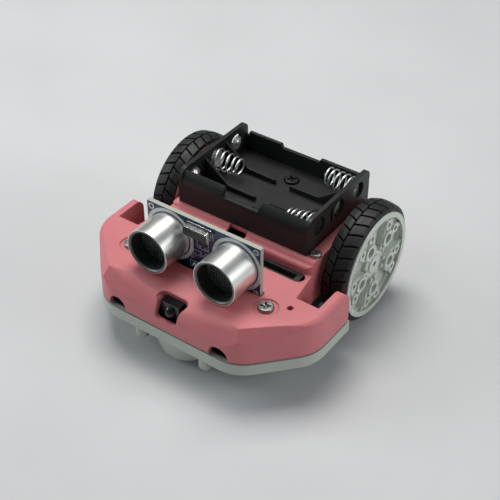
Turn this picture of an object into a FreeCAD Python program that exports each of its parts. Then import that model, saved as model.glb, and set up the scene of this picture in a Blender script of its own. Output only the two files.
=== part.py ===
import FreeCAD, Part
import os, math
import Sketcher

# Two wheel educational robot car.  Millimetres, +Z up, floor at z = 0.
# +X is the car's left-to-right axis, the front (ranging eyes) looks along -Y.
# All sub-parts are drawn about one datum (front face of the ranging board at y = 0)
# and are then placed by Params.datum_y so that the origin is the middle of the footprint.

V = FreeCAD.Vector
doc = FreeCAD.newDocument("robot_car")
sheet = doc.addObject("Spreadsheet::Sheet", "Params")

PARAMS = [
    ("datum_y", -21.8, "front face of ranging board to model origin"),
    ("wheel_radius", 21.5, "tyre outside radius"),
    ("wheel_y", 42.4, "wheel axle, fore and aft"),
    ("wheel_z", 21.5, "wheel axle above floor"),
    ("tyre_in_x", 31.5, "inner edge of tread from middle"),
    ("tyre_mid_x", 35.3, "middle groove of tread"),
    ("tyre_out_x", 39.4, "outer edge of tread"),
    ("rim_radius", 19.0, "hub rim outside radius"),
    ("hub_face_x", 40.9, "hub outer face"),
    ("tread_count", 32, "lugs per row"),
    ("base_front_y", -20.3, "front face"),
    ("base_half_x", 44.6, "half width"),
    ("corner_x", 27.0, "front corner, half width"),
    ("corner_y", -0.9, "side corner"),
    ("corner_r", 14.0, "plan corner radius"),
    ("side_end_y", 19.2, "rear end of the side walls"),
    ("rear_y", 58.6, "rear face of the body between the wheels"),
    ("mid_half_x", 30.0, "half width between the wheels"),
    ("base_z", 11.2, "underside of base"),
    ("base_rim_z", 15.4, "top of base rim"),
    ("base_lip_z", 16.2, "top of base inner lip"),
    ("floor_t", 1.6, "base floor thickness"),
    ("shell_z", 16.0, "lower edge of shell"),
    ("deck_z", 28.6, "top of deck"),
    ("block_z", 32.6, "top of raised block"),
    ("wall_t", 1.6, "shell wall"),
    ("notch_y", 5.6, "front of wheel notch"),
    ("notch_out_x", 40.9, "outer wall of wheel notch"),
    ("notch_in_x", 32.5, "inner wall of wheel notch at front"),
    ("board_z", 14.0, "underside of main board"),
    ("board_t", 1.6, "circuit board thickness"),
    ("range_w", 45.0, "ranging board width"),
    ("range_h", 20.0, "ranging board height"),
    ("range_z", 26.9, "ranging board lower edge"),
    ("can_x", 13.37, "transducer spacing, half"),
    ("can_z", 37.0, "transducer centre height"),
    ("can_r", 8.0, "transducer can radius"),
    ("can_len", 11.9, "transducer can length"),
    ("slot_half_x", 29.6, "edge connector opening, half length"),
    ("slot_y0", 12.1, "edge connector opening front"),
    ("slot_y1", 17.0, "edge connector opening rear"),
    ("holder_half_x", 26.2, "battery holder half length"),
    ("holder_y0", 20.7, "battery holder front"),
    ("holder_y1", 59.3, "battery holder rear"),
    ("holder_top_z", 45.6, "end plate top"),
    ("plate_t", 1.5, "end plate thickness"),
    ("bay_pitch", 12.2, "cell pitch"),
    ("bay_mid_y", 40.0, "middle cell"),
    ("contact_z", 40.4, "cell contact height"),
    ("holder_floor_z", 34.4, "holder floor"),
    ("shaft_r", 1.5, "output shaft radius"),
    ("gear_dist", 3.06, "gear centre distance"),
    ("screw_x", 27.2, "front shell screw"),
    ("screw_y", -3.6, "front shell screw"),
    ("rear_screw_x", 28.35, "rear shell screw"),
    ("rear_screw_y", 23.0, "rear shell screw"),
    ("block_left_x", 27.7, "left end of the raised block, from middle"),
    ("peg_x", 13.2, "front peg spacing, half"),
    ("peg_y", -16.9, "front peg"),
    ("peg_r", 2.3, "front peg radius"),
    ("peg_bottom_z", 5.4, "front peg lower end"),
    ("peg_bore_r", 1.25, "front peg bore"),
    ("caster_y", -10.0, "caster ball"),
    ("ball_r", 4.9, "caster ball radius"),
]
for i, (n, v, c) in enumerate(PARAMS, 1):
    sheet.set("A%d" % i, n)
    sheet.set("B%d" % i, str(v))
    sheet.set("C%d" % i, c)
    sheet.setAlias("B%d" % i, n)
doc.recompute()


def P(name):
    return float(sheet.get(name))


def E(v):
    """text of an expression: words are parameters of the sheet"""
    if isinstance(v, (int, float)):
        return None
    out, word = "", ""
    for ch in v + " ":
        if ch.isalnum() or ch == "_" or ch == ".":
            word += ch
        else:
            if word and (word[0].isalpha()):
                out += "Params." + word
            else:
                out += word
            word = ""
            out += ch
    return out.strip()


def N(v):
    """number of a value that may be an expression"""
    if isinstance(v, (int, float)):
        return float(v)
    return float(value_of(v))


def value_of(v):
    toks, word = [], ""
    for ch in v + " ":
        if ch.isalnum() or ch in "_.":
            word += ch
        else:
            if word:
                toks.append(("n", P(word)) if word[0].isalpha() else ("n", float(word)))
                word = ""
            if ch in "+-*/()":
                toks.append(("o", ch))
    pos = [0]

    def peek():
        return toks[pos[0]] if pos[0] < len(toks) else (None, None)

    def atom():
        k, t = peek()
        pos[0] += 1
        if k == "n":
            return t
        if t == "-":
            return -atom()
        if t == "(":
            r = add()
            pos[0] += 1
            return r
        return 0.0

    def mul():
        r = atom()
        while peek()[1] in ("*", "/") and peek()[0] == "o":
            o = peek()[1]
            pos[0] += 1
            b = atom()
            r = r * b if o == "*" else r / b
        return r

    def add():
        r = mul()
        while peek()[1] in ("+", "-") and peek()[0] == "o":
            o = peek()[1]
            pos[0] += 1
            b = mul()
            r = r + b if o == "+" else r - b
        return r
    return add()


def bind(o, prop, v):
    e = E(v)
    if e:
        o.setExpression(prop, e)


_n = [0]


def nm(pre):
    _n[0] += 1
    return "%s_%03d" % (pre, _n[0])


def setpos(o, x, y, z, rot=None):
    o.Placement = FreeCAD.Placement(V(N(x), N(y), N(z)), rot or FreeCAD.Rotation())
    bind(o, "Placement.Base.x", x)
    bind(o, "Placement.Base.y", y)
    bind(o, "Placement.Base.z", z)


def box(x0, x1, y0, y1, z0, z1):
    o = doc.addObject("Part::Box", nm("box"))
    for prop, a, b in (("Length", x0, x1), ("Width", y0, y1), ("Height", z0, z1)):
        setattr(o, prop, N(b) - N(a))
        if E(a) or E(b):
            o.setExpression(prop, "(%s) - (%s)" % (E(b) or repr(b), E(a) or repr(a)))
    setpos(o, x0, y0, z0)
    return o


ROT = {"z": FreeCAD.Rotation(), "x": FreeCAD.Rotation(V(0, 1, 0), 90),
       "-x": FreeCAD.Rotation(V(0, 1, 0), -90), "y": FreeCAD.Rotation(V(1, 0, 0), -90),
       "-y": FreeCAD.Rotation(V(1, 0, 0), 90), "-z": FreeCAD.Rotation(V(1, 0, 0), 180)}


def cyl(x, y, z, r, h, axis="z"):
    o = doc.addObject("Part::Cylinder", nm("cyl"))
    o.Radius = N(r)
    o.Height = N(h)
    bind(o, "Radius", r)
    bind(o, "Height", h)
    setpos(o, x, y, z, ROT[axis])
    return o


def cone(x, y, z, r1, r2, h, axis="z"):
    o = doc.addObject("Part::Cone", nm("cone"))
    o.Radius1, o.Radius2, o.Height = N(r1), N(r2), N(h)
    bind(o, "Radius1", r1)
    bind(o, "Radius2", r2)
    bind(o, "Height", h)
    setpos(o, x, y, z, ROT[axis])
    return o


def ball(x, y, z, r):
    o = doc.addObject("Part::Sphere", nm("ball"))
    o.Radius = N(r)
    bind(o, "Radius", r)
    setpos(o, x, y, z)
    return o


def feature(shape):
    o = doc.addObject("Part::Feature", nm("solid"))
    o.Shape = shape
    return o


def fuse(*obs):
    obs = [o for o in obs if o is not None]
    if len(obs) == 1:
        return obs[0]
    o = doc.addObject("Part::MultiFuse", nm("fuse"))
    o.Shapes = list(obs)
    o.Refine = True
    return o


def cut(a, *tools):
    t = fuse(*tools)
    o = doc.addObject("Part::Cut", nm("cut"))
    o.Base = a
    o.Tool = t
    o.Refine = True
    return o


def common(a, b):
    o = doc.addObject("Part::MultiCommon", nm("common"))
    o.Shapes = [a, b]
    return o


def group(*obs):
    """several separate solids of one node"""
    o = doc.addObject("Part::Compound", nm("set"))
    o.Links = list(obs)
    return o


def mirror_x(o):
    m = doc.addObject("Part::Mirroring", nm("mirror"))
    m.Source = o
    m.Base = V(0, 0, 0)
    m.Normal = V(1, 0, 0)
    return m


PLANES = {"XY": "XY_Plane", "XZ": "XZ_Plane", "YZ": "YZ_Plane"}


def poly(pts, plane, start, length, rounds=None, revolve=None):
    """closed polygon on one of the body's own planes, padded from start by length.
    XY: (x, y) padded along +Z;  YZ: (y, z) padded along +X;  XZ: (x, z), padded along +Y.
    rounds: {(u, v): radius} rounds the padded edges that pass that corner."""
    body = doc.addObject("PartDesign::Body", nm("body"))
    sk = body.newObject("Sketcher::SketchObject", nm("sketch"))
    pl = [f for f in body.Origin.OriginFeatures if f.Role == PLANES[plane]][0]
    sk.AttachmentSupport = [(pl, "")]
    sk.MapMode = "FlatFace"
    num = [(N(a), N(b)) for a, b in pts]
    n = len(num)
    for i in range(n):
        a, b = num[i], num[(i + 1) % n]
        sk.addGeometry(Part.LineSegment(V(a[0], a[1], 0), V(b[0], b[1], 0)), False)
    for i in range(n):
        sk.addConstraint(Sketcher.Constraint("Coincident", i, 2, (i + 1) % n, 1))
    for i, (a, b) in enumerate(pts):
        for kind, val, e in (("DistanceX", num[i][0], E(a)), ("DistanceY", num[i][1], E(b))):
            if e and abs(val) > 1e-6:
                k = sk.addConstraint(Sketcher.Constraint(kind, -1, 1, i, 1, val))
                sk.setExpression("Constraints[%d]" % k, e)
    doc.recompute()
    if revolve:
        f = body.newObject("PartDesign::Revolution", nm("turn"))
        f.Profile = sk
        f.ReferenceAxis = (sk, [revolve])
        f.Angle = 360
    else:
        f = body.newObject("PartDesign::Pad", nm("pad"))
        f.Profile = sk
        f.Length = N(length)
        bind(f, "Length", length)
        if plane == "XZ":
            f.Reversed = True
    body.Tip = f
    doc.recompute()
    if rounds:
        for (u, v), r in rounds.items():
            u, v = N(u), N(v)
            want = []
            last = body.Tip
            for k, e in enumerate(last.Shape.Edges, 1):
                ps = [p.Point for p in e.Vertexes]
                if len(ps) != 2:
                    continue
                ok = True
                for p in ps:
                    q = {"XY": (p.x, p.y), "YZ": (p.y, p.z), "XZ": (p.x, p.z)}[plane]
                    if abs(q[0] - u) > 1e-4 or abs(q[1] - v) > 1e-4:
                        ok = False
                if ok:
                    want.append("Edge%d" % k)
            fl = body.newObject("PartDesign::Fillet", nm("round"))
            fl.Base = (last, want)
            fl.Radius = N(r)
            bind(fl, "Radius", r)
            body.Tip = fl
            doc.recompute()
    if not revolve:
        if plane == "XY":
            setpos(body, 0, 0, start)
        elif plane == "YZ":
            setpos(body, start, 0, 0)
        else:
            setpos(body, 0, start, 0)
    return body


def mirrored(half):
    """outline symmetric about x = 0 from its +X half, listed front to rear"""
    left = []
    for a, b in reversed(half):
        if isinstance(a, str):
            left.append(("0 - (%s)" % a, b))
        else:
            left.append((-a, b))
    return half + left


NODES = {}


def node(label, o, x=0, y="datum_y", z=0, rot=None):
    """the sub-part: own label, own placement"""
    doc.recompute()
    if o.TypeId in ("Part::Cut", "Part::MultiFuse", "Part::MultiCommon", "Part::Compound"):
        top = o
    else:
        top = doc.addObject("Part::Compound", nm("set"))
        top.Links = [o]
    top.Label = label
    top.Placement = FreeCAD.Placement(V(N(x), N(y), N(z)), rot or FreeCAD.Rotation())
    bind(top, "Placement.Base.x", x)
    bind(top, "Placement.Base.y", y)
    bind(top, "Placement.Base.z", z)
    NODES[label] = top
    return top


R180Z = FreeCAD.Rotation(V(0, 0, 1), 180)

# ------------------------------------------------------------------ wheels
# turned tyre: tread is two shallow cones, separated by a middle groove
tyre_core = poly([("tyre_in_x + 0.2", "rim_radius + 0.05"), ("tyre_in_x - 0.1", "rim_radius + 0.6"),
                  ("tyre_in_x", "wheel_radius - 0.8"), ("tyre_mid_x - 1.6", "wheel_radius - 0.15"),
                  ("tyre_mid_x", "wheel_radius"), ("tyre_mid_x + 1.6", "wheel_radius - 0.1"),
                  ("tyre_out_x", "wheel_radius - 0.5"), ("tyre_out_x + 0.5", "wheel_radius - 1.0"),
                  ("tyre_out_x + 0.95", "rim_radius + 0.7"), ("tyre_out_x + 0.95", "rim_radius + 0.05")],
                 "XZ", 0, 0, revolve="H_Axis")


def tread_tools():
    n = int(P("tread_count"))
    R, xm, xi, xo = P("wheel_radius"), P("tyre_mid_x"), P("tyre_in_x"), P("tyre_out_x")
    pitch = 360.0 / n
    tools = []
    ring = Part.makeCylinder(R + 1, 0.5, V(xm - 0.25, 0, 0), V(1, 0, 0))
    ring = ring.cut(Part.makeCylinder(R - 1.2, 0.5, V(xm - 0.25, 0, 0), V(1, 0, 0)))
    tools.append(ring)
    for k in range(n):
        for xa, xb, off in ((xm, xo + 0.9, 0.0), (xm, xi - 0.4, 0.4 * pitch)):
            # slanted slot: starts at the middle groove and runs 5 degrees round to the edge
            a0 = math.radians(k * pitch + off)
            a1 = a0 + math.radians(5.0)
            w = math.radians(1.0)
            q = []
            for rr in (R - 1.45, R + 0.6):
                for x, a in ((xa, a0), (xb, a1)):
                    for s in (-w, w):
                        q.append(V(x, -rr * math.cos(a + s), rr * math.sin(a + s)))
            # corners: 0,1 low start; 2,3 low end; 4,5 high start; 6,7 high end
            fs = [(0, 1, 3, 2), (4, 5, 7, 6), (0, 1, 5, 4), (2, 3, 7, 6), (0, 2, 6, 4), (1, 3, 7, 5)]
            faces = []
            for f in fs:
                p = [q[i] for i in f]
                faces.append(Part.Face(Part.makePolygon([p[0], p[1], p[2], p[0]])))
                faces.append(Part.Face(Part.makePolygon([p[0], p[2], p[3], p[0]])))
            sh = Part.Solid(Part.Shell(faces))
            if sh.Volume < 0:
                sh.reverse()
            tools.append(sh)
    return tools


tread = feature(Part.makeCompound(tread_tools()))


def tyre_shape():
    s = tyre_core.Shape.copy()
    return s.cut(tread_tools())


doc.recompute()
tyre = feature(tyre_shape())
tyre2 = feature(tyre.Shape.copy())
node("tyre_right", tyre, 0, "datum_y + wheel_y", "wheel_z")
node("tyre_left", tyre2, 0, "datum_y + wheel_y", "wheel_z", R180Z)


# hub: outer rim band, recessed web with five blind windows, ring bosses on the five spokes
def hub_shape():
    R, face = P("rim_radius"), P("hub_face_x")
    X = V(1, 0, 0)

    def c(r, x0, x1, y=0.0, z=0.0):
        return Part.makeCylinder(r, x1 - x0, V(x0, y, z), X)

    def pol(r, deg):
        a = math.radians(deg)
        return r * math.cos(a), r * math.sin(a)
    rim = c(R, face - 9.0, face - 0.3).cut(c(R - 1.5, face - 9.5, face + 1))
    lip = c(R + 0.05, face - 0.45, face).cut(c(R - 1.9, face - 1, face + 1))
    rim = rim.fuse(lip)
    web = c(R - 1.0, face - 3.7, face - 1.5)
    parts = []
    cuts = []
    for k in range(5):
        wa = 85 + 72 * k
        # window: slightly waisted sector
        pts = []
        for r, d in ((6.2, -20), (6.2, 20), (10.5, 14.5), (16.3, 14.0), (17.0, 5), (17.0, -5), (16.3, -14.0), (10.5, -14.5)):
            y, z = pol(r, wa + d)
            pts.append(V(face - 4, y, z))
        pts.append(pts[0])
        cuts.append(Part.Face(Part.makePolygon(pts)).extrude(V(5, 0, 0)))
        # raised rib round the window
        for s in (-1, 1):
            y0, z0 = pol(5.2, wa + s * 24)
            y1, z1 = pol(17.6, wa + s * 15.5)
            d = V(0, y1 - y0, z1 - z0)
            L = d.Length
            b = Part.makeBox(1.2, L, 1.5, V(0, 0, -0.75))
            b.rotate(V(0, 0, 0), X, math.degrees(math.atan2(d.z, d.y)))
            b.translate(V(face - 1.8, y0, z0))
            parts.append(b)
        sa = wa + 36
        pad = [V(face - 2.6, *pol(8.4, sa - 10)), V(face - 2.6, *pol(15.6, sa - 14.5)), V(face - 2.6, *pol(15.6, sa + 14.5)), V(face - 2.6, *pol(8.4, sa + 10))]
        parts.append(Part.Face(Part.makePolygon(pad + pad[:1])).extrude(V(1.7, 0, 0)))
        for r, d, ro, ri, top in ((9.7, 0, 3.1, 1.8, 0.0), (14.3, -13.0, 2.0, 0.85, -0.3), (14.3, 13.0, 2.0, 0.85, -0.3)):
            y, z = pol(r, sa + d)
            parts.append(c(ro, face - 2.6, face + top, y, z))
            cuts.append(c(ri, face - 4, face + 1, y, z))
    boss = c(3.4, face - 10.2, face - 1.0)
    back = c(R - 1.0, face - 4.6, face - 2.8)
    s = rim.fuse([web, boss] + parts)
    s = s.cut(cuts).fuse(back)
    s = s.cut([c(P("shaft_r") + 0.02, face - 12, face - 1.6), c(0.9, face - 3, face + 1)])
    # flat of the D bore
    key = Part.makeBox(7.9, 4, 0.55, V(face - 10.2, -2, 1.02)).common(c(P("shaft_r") + 0.02, face - 10.2, face - 2.0))
    s = s.fuse(key).common(c(R + 0.05, face - 12, face))
    return s.removeSplitter()


hub = feature(hub_shape())
hub2 = feature(hub.Shape.copy())
node("hub_right", hub, 0, "datum_y + wheel_y", "wheel_z")
node("hub_left", hub2, 0, "datum_y + wheel_y", "wheel_z", R180Z)


# ------------------------------------------------------------------ gear motors
def gear_wire(nt, module, x0, x1, phase, bore=0.0):
    rp = nt * module / 2.0
    ro, rr = rp + 0.75 * module, rp - 1.05 * module
    pts = []
    p = 2 * math.pi / nt
    for k in range(nt):
        a = math.radians(phase) + k * p
        for r, da in ((rr, -0.30), (rp, -0.19), (ro, -0.09), (ro, 0.09), (rp, 0.19), (rr, 0.30)):
            pts.append(V(x0, r * math.cos(a + da * p), r * math.sin(a + da * p)))
    pts.append(pts[0])
    s = Part.Face(Part.makePolygon(pts)).extrude(V(x1 - x0, 0, 0))
    if bore:
        s = s.cut(Part.makeCylinder(bore, x1 - x0 + 2, V(x0 - 1, 0, 0), V(1, 0, 0)))
    return s


def cx(r, x0, x1, y=0.0, z=0.0):
    return Part.makeCylinder(r, x1 - x0, V(x0, y, z), V(1, 0, 0))


MOD = 0.18
gd = P("gear_dist")
# output shaft with its gear; D flat on the free end
out_shape = cx(P("shaft_r"), 26.9, 38.4).cut(Part.makeBox(9.4, 4, 2, V(29.2, -2, 1.0)))
out_shape = out_shape.fuse([cx(1.0, 23.7, 27.2), gear_wire(24, MOD, 23.9, 26.7, 7.5)]).removeSplitter()
# idler: large wheel driven by the pinion, small wheel driving the output gear
idler_shape = gear_wire(24, MOD, 20.7, 22.7, 7.5, 0.55).fuse(gear_wire(10, MOD, 22.7, 26.6, 0, 0.55)).removeSplitter()
pinion_shape = gear_wire(10, MOD, 20.5, 23.1, 0).fuse(cx(0.5, 17.4, 23.3)).removeSplitter()


def frame_shape():
    a = Part.makeBox(0.8, 12, 10, V(19.3, -6, -5))
    b = Part.makeBox(0.8, 12, 10, V(27.4, -6, -5))
    b = b.cut(cx(P("shaft_r") + 0.05, 27, 29))
    a = a.cut(cx(1.0, 19, 20.5))
    posts = [cx(0.9, 19.9, 27.6, y, z) for y, z in ((-4.9, -3.9), (-4.9, 3.9), (4.9, -3.9), (4.9, 3.9))]
    pin = cx(0.5, 19.9, 27.6, gd, 0)
    return a.fuse([b, pin] + posts).removeSplitter()


def motor_shape():
    can = cx(6.0, 4.4, 19.2).common(Part.makeBox(20, 12, 10, V(2, -6, -5)))
    return can.cut(cx(0.6, 17.0, 20)).removeSplitter()


def cap_shape():
    e = cx(5.6, 3.0, 4.3).common(Part.makeBox(20, 12, 9.6, V(2, -6, -4.8)))
    t = [Part.makeBox(1.4, 0.4, 1.8, V(1.7, y, -0.9)) for y in (-3.6, 3.2)]
    return e.fuse(t).removeSplitter()


def bracket_shape():
    b = Part.makeBox(9.0, 14.6, 11.0, V(18.2, -7.3, -5.7))
    b = b.cut(Part.makeBox(12, 12.2, 15.2, V(17, -6.1, -10.0)))
    feet = [Part.makeBox(9.0, 5.6, 1.5, V(18.2, y, -5.7)) for y in (-12.6, 7.0)]
    b = b.fuse(feet)
    b = b.cut([Part.makeCylinder(1.1, 6, V(22.7, y, -8), V(0, 0, 1)) for y in (-10.2, 10.2)])
    return b.removeSplitter()


def pan_screw(r_head, h_head, r_sh, length):
    """pan head screw: head underside at z = 0, shank down, flat top with a soft edge and a deep cross recess"""
    s = Part.makeCylinder(r_head, h_head, V(0, 0, 0))
    top = [e for e in s.Edges if abs(e.BoundBox.ZMin - h_head) < 1e-6 and abs(e.BoundBox.ZMax - h_head) < 1e-6]
    s = s.makeFillet(h_head * 0.45, top[:1])
    s = s.fuse(Part.makeCylinder(r_sh, length, V(0, 0, -length)))
    w = r_head * 0.27
    L = r_head * 1.34
    d = h_head * 0.8
    for ang in (0, 90):
        b = Part.makeBox(L, w, d + 1, V(-L / 2, -w / 2, h_head - d))
        b.rotate(V(0, 0, 0), V(0, 0, 1), ang + 20)
        s = s.cut(b)
    s = s.cut(Part.makeCone(0.05, r_head * 0.36, d * 1.2, V(0, 0, h_head - d * 1.2 + 0.001)))
    return s.removeSplitter()


def placed(shape, x, y, z, rot=0):
    s = shape.copy()
    if rot:
        s.rotate(V(0, 0, 0), V(0, 0, 1), rot)
    s.translate(V(x, y, z))
    return s


for side, rot in (("right", None), ("left", R180Z)):
    for lab, shp in (("output_shaft_", out_shape), ("gearbox_frame_", frame_shape()), ("motor_can_", motor_shape()),
                     ("motor_cap_", cap_shape()), ("motor_bracket_", bracket_shape())):
        node(lab + side, feature(shp.copy()), 0, "datum_y + wheel_y", "wheel_z", rot)
    node("pinion_" + side, feature(pinion_shape.copy()), 0, "datum_y + wheel_y", "wheel_z", rot)
    s = idler_shape.copy()
    s.translate(V(0, gd, 0))
    node("idler_gear_" + side, feature(s), 0, "datum_y + wheel_y", "wheel_z", rot)

ms = pan_screw(1.8, 1.2, 1.0, 3.2)
bs = [feature(placed(ms, sx * 22.7, P("wheel_y") + sy * 10.2, P("wheel_z") - 4.2, 15 * sx)) for sx in (-1, 1) for sy in (-1, 1)]
node("bracket_screws", group(*bs))

# ------------------------------------------------------------------ base tray
H = mirrored


def plan(ins, yend, tail=True, midx=None, rear=None, z0="base_z", z1="base_rim_z", grow=0.0):
    """plan of the body: straight front, slanted front corners, sides; tail between the wheels"""
    # inset of the slanted edge moves its corner points along the front and the side
    t1, t2 = 0.438 * ins, 0.391 * ins
    half = [("corner_x - %.4f" % t1, "base_front_y + %.4f" % ins),
            ("base_half_x - %.4f" % ins, "corner_y + %.4f" % t2),
            ("base_half_x - %.4f" % ins, yend)]
    rounds = {}
    for sg in ("", "0 - "):
        rounds[("%s(corner_x - %.4f)" % (sg, t1), "base_front_y + %.4f" % ins)] = "corner_r - %.4f" % ins
        rounds[("%s(base_half_x - %.4f)" % (sg, ins), "corner_y + %.4f" % t2)] = "corner_r - %.4f" % ins
    if tail:
        half += [(midx, yend), (midx, rear)]
    return H(half), rounds


pts, rd = plan(0, "side_end_y", True, "mid_half_x - 0.1", "rear_y")
outer = poly(pts, "XY", "base_z", "base_rim_z - base_z", rd)
pts, rd = plan(1.7, 16.6, True, "mid_half_x - 1.5", "rear_y - 1.7")
lip_o = poly(pts, "XY", "base_rim_z - 0.01", "base_lip_z - base_rim_z + 0.01", rd)
pts, rd = plan(2.8, 16.5, True, "mid_half_x - 2.8", "rear_y - 2.8")
hollow = poly(pts, "XY", "base_z + floor_t", "base_lip_z - base_z + 2", rd)
# the lip stops where the wheel notches open the shell
lip_no = [box(s0, s1, 4.0, 30, "base_rim_z", 20) for s0, s1 in ((29, 50), (-50, -29))]
lip = cut(lip_o, *lip_no)
tray = cut(fuse(outer, lip), hollow)
# caster housing, pegs, posts
def housing():
    """funnel round the ball: oval at the base, nearly round at its foot"""
    ws = []
    for z, rx, ry in ((2.2, 7.0, 6.8), (2.6, 8.0, 7.6), (3.4, 9.0, 8.2), (11.5, 13.0, 9.85)):
        el = Part.Ellipse(V(0, P("caster_y"), z), rx, ry)
        ws.append(Part.Wire([el.toShape()]))
    out = Part.makeLoft(ws[:2], True, True)
    for a, b in ((1, 2), (2, 3)):
        out = out.fuse(Part.makeLoft([ws[a], ws[b]], True, True))
    return out


cast = feature(housing())
socket_up = cyl(0, "caster_y", "ball_r", "ball_r + 0.15", 14)
posts = []
bores = []
for sx in (-1, 1):
    x = "screw_x" if sx > 0 else "0 - screw_x"
    posts.append(cyl(x, "screw_y", "base_z + 0.5", 3.0, "board_z - base_z - 0.5"))
    bores.append(cyl(x, "screw_y", "base_z + 0.7", 1.5, 8))
    xr = "rear_screw_x" if sx > 0 else "0 - rear_screw_x"
    if sx > 0:
        bores.append(cyl(xr, "rear_screw_y", "base_z + 0.9", 1.3, 8))
    xp = "peg_x" if sx > 0 else "0 - peg_x"
    posts.append(cone(xp, "peg_y", "peg_bottom_z", "peg_r - 0.6", "peg_r", 0.7))
    posts.append(cyl(xp, "peg_y", "peg_bottom_z + 0.7", "peg_r", "base_z - peg_bottom_z - 0.5"))
    bores.append(cyl(xp, "peg_y", "peg_bottom_z - 1", "peg_bore_r", 6.4))
    for y in (22.7, 50.0):
        posts.append(cyl(20.0 * sx, y, "base_z + 0.5", 2.2, "board_z - base_z - 0.5"))
    # windows of the line sensors
    bores.append(box(sx * 9.0 - 2.6, sx * 9.0 + 2.6, 3.0, 8.0, 8, 13.5))
sock = ball(0, "caster_y", "ball_r", "ball_r + 0.15")
tray = cut(fuse(tray, cast, *posts), sock, socket_up, *bores)
node("base_tray", tray)
node("caster_ball", ball(0, "caster_y", "ball_r", "ball_r"))
ret = cut(cyl(0, "caster_y", "base_z + floor_t", 7.0, 1.15), ball(0, "caster_y", "ball_r", "ball_r + 0.15"))
node("caster_retainer", ret)

# ------------------------------------------------------------------ main board
pts, rd = plan(3.0, 16.3, True, "mid_half_x - 3.0", "rear_y - 3.0")
pcb = poly(pts, "XY", "board_z", "board_t", rd)
holes = []
for sx in (-1, 1):
    holes.append(cyl("screw_x" if sx > 0 else "0 - screw_x", "screw_y", 10, 1.6, 10))
    for sy in (-1, 1):
        holes.append(cyl(22.7 * sx, "wheel_y + %.2f" % (10.2 * sy), 10, 1.05, 10))
node("main_board", cut(pcb, *holes))

# driver chip, processor, small parts
chips = [box(-4.5, 4.5, 26.0, 32.0, "board_z + board_t", "board_z + board_t + 1.4"),
         box(8, 13, 24.5, 29.0, "board_z + board_t", "board_z + board_t + 1.2"),
         box(-13, -9, 24.5, 28.0, "board_z + board_t", "board_z + board_t + 1.2"),
         box(34.0, 37.4, 9.0, 12.2, "board_z + board_t", "board_z + board_t + 1.1"),
         box(-37.4, -34.0, 9.0, 12.2, "board_z + board_t", "board_z + board_t + 1.1")]
node("board_chips", group(*chips))
node("buzzer", cut(cyl(-18, 5.0, "board_z + board_t", 6.0, 5.4), cyl(-18, 5.0, "board_z + board_t + 4.4", 1.2, 3)))
sens = []
for sx in (-1, 1):
    b = box(sx * 9.0 - 2.1, sx * 9.0 + 2.1, 3.5, 7.5, "board_z - 2.2", "board_z")
    sens.append(cut(b, cyl(sx * 9.0, 4.6, "board_z - 3", 0.8, 1.3), cyl(sx * 9.0, 6.4, "board_z - 3", 0.8, 1.3)))
node("line_sensors", group(*sens))

# edge connector, opening upwards
bt = "board_z + board_t"
econ = box("1.5 - slot_half_x", "slot_half_x - 1.5", "slot_y0 + 0.25", "slot_y1 - 0.25", bt, "deck_z - 0.5")
econ = cut(econ, box(-26.2, 26.2, "slot_y0 + 1.15", "slot_y1 - 1.15", 19.0, 40))
node("edge_connector", econ)
cont = []
for i in range(20):
    x = (i - 9.5) * 2.54
    cont.append(box(x - 0.45, x + 0.45, "slot_y0 + 1.15", "slot_y0 + 1.6", 19.0, "deck_z - 3.6"))
    cont.append(box(x - 0.45, x + 0.45, "slot_y1 - 1.6", "slot_y1 - 1.15", 19.0, "deck_z - 3.6"))
node("edge_contacts", group(*cont))

# power switch at the rear edge
sw = cut(box(8.8, 17.8, 51.4, 55.2, bt, "board_z + board_t + 3.6"),
         box(10.9, 15.7, 52.4, 60, "board_z + board_t + 0.9", "board_z + board_t + 2.7"))
node("power_switch", sw)
node("switch_lever", fuse(box(11.3, 13.3, 52.6, 60.2, "board_z + board_t + 1.1", "board_z + board_t + 2.5")))

# front lamps: domed lens, flange, two leads each
lamps, leads = [], []
for sx, side in ((1, "right"), (-1, "left")):
    x = 20.5 * sx
    l = fuse(cyl(x, -16.6, 18.1, 1.5, 3.6, "y"), ball(x, -16.6, 18.1, 1.5), cyl(x, -13.6, 18.1, 1.9, 0.8, "y"))
    node("front_led_" + side, l)
    for dx in (-0.7, 0.7):
        leads.append(fuse(box(x + dx - 0.25, x + dx + 0.25, -12.8, -11.0, 17.85, 18.35),
                          box(x + dx - 0.25, x + dx + 0.25, -11.5, -11.0, bt, 18.35)))
node("led_leads", group(*leads))

# infrared receiver standing in the front window
irb = fuse(box(-3.6, 3.6, -17.6, -14.3, 18.4, 25.9),
           common(ball(0, -17.0, 22.5, 2.3), box(-3, 3, -22, -16.8, 18.6, 25.7)))
node("ir_receiver", irb)
node("ir_leads", group(*[box(dx - 0.25, dx + 0.25, -16.2, -15.7, bt, 18.4) for dx in (-2.54, 0, 2.54)]))

# four way socket for the ranging board
pins = []
sock_holes = []
for i in range(4):
    x = (i - 1.5) * 2.54
    pins.append(fuse(box(x - 0.32, x + 0.32, -1.3, 3.27, 28.4, 29.04), box(x - 0.32, x + 0.32, 2.63, 3.27, 21.0, 29.04)))
    sock_holes.append(box(x - 0.34, x + 0.34, 2.61, 3.29, 20.5, 30))
node("range_socket", cut(box(-5.4, 5.4, 1.7, 4.2, bt, 27.0), *sock_holes))
hb = box(-5.1, 5.1, 1.7, 4.2, 27.3, 29.9)
pin_cut = []
for i in range(4):
    x = (i - 1.5) * 2.54
    pin_cut.append(box(x - 0.32, x + 0.32, 1.0, 3.27, 28.4, 29.04))
    pin_cut.append(box(x - 0.32, x + 0.32, 2.63, 3.27, 26.0, 29.04))
node("header_block", cut(hb, *pin_cut))
node("header_pins", group(*pins))

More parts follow.
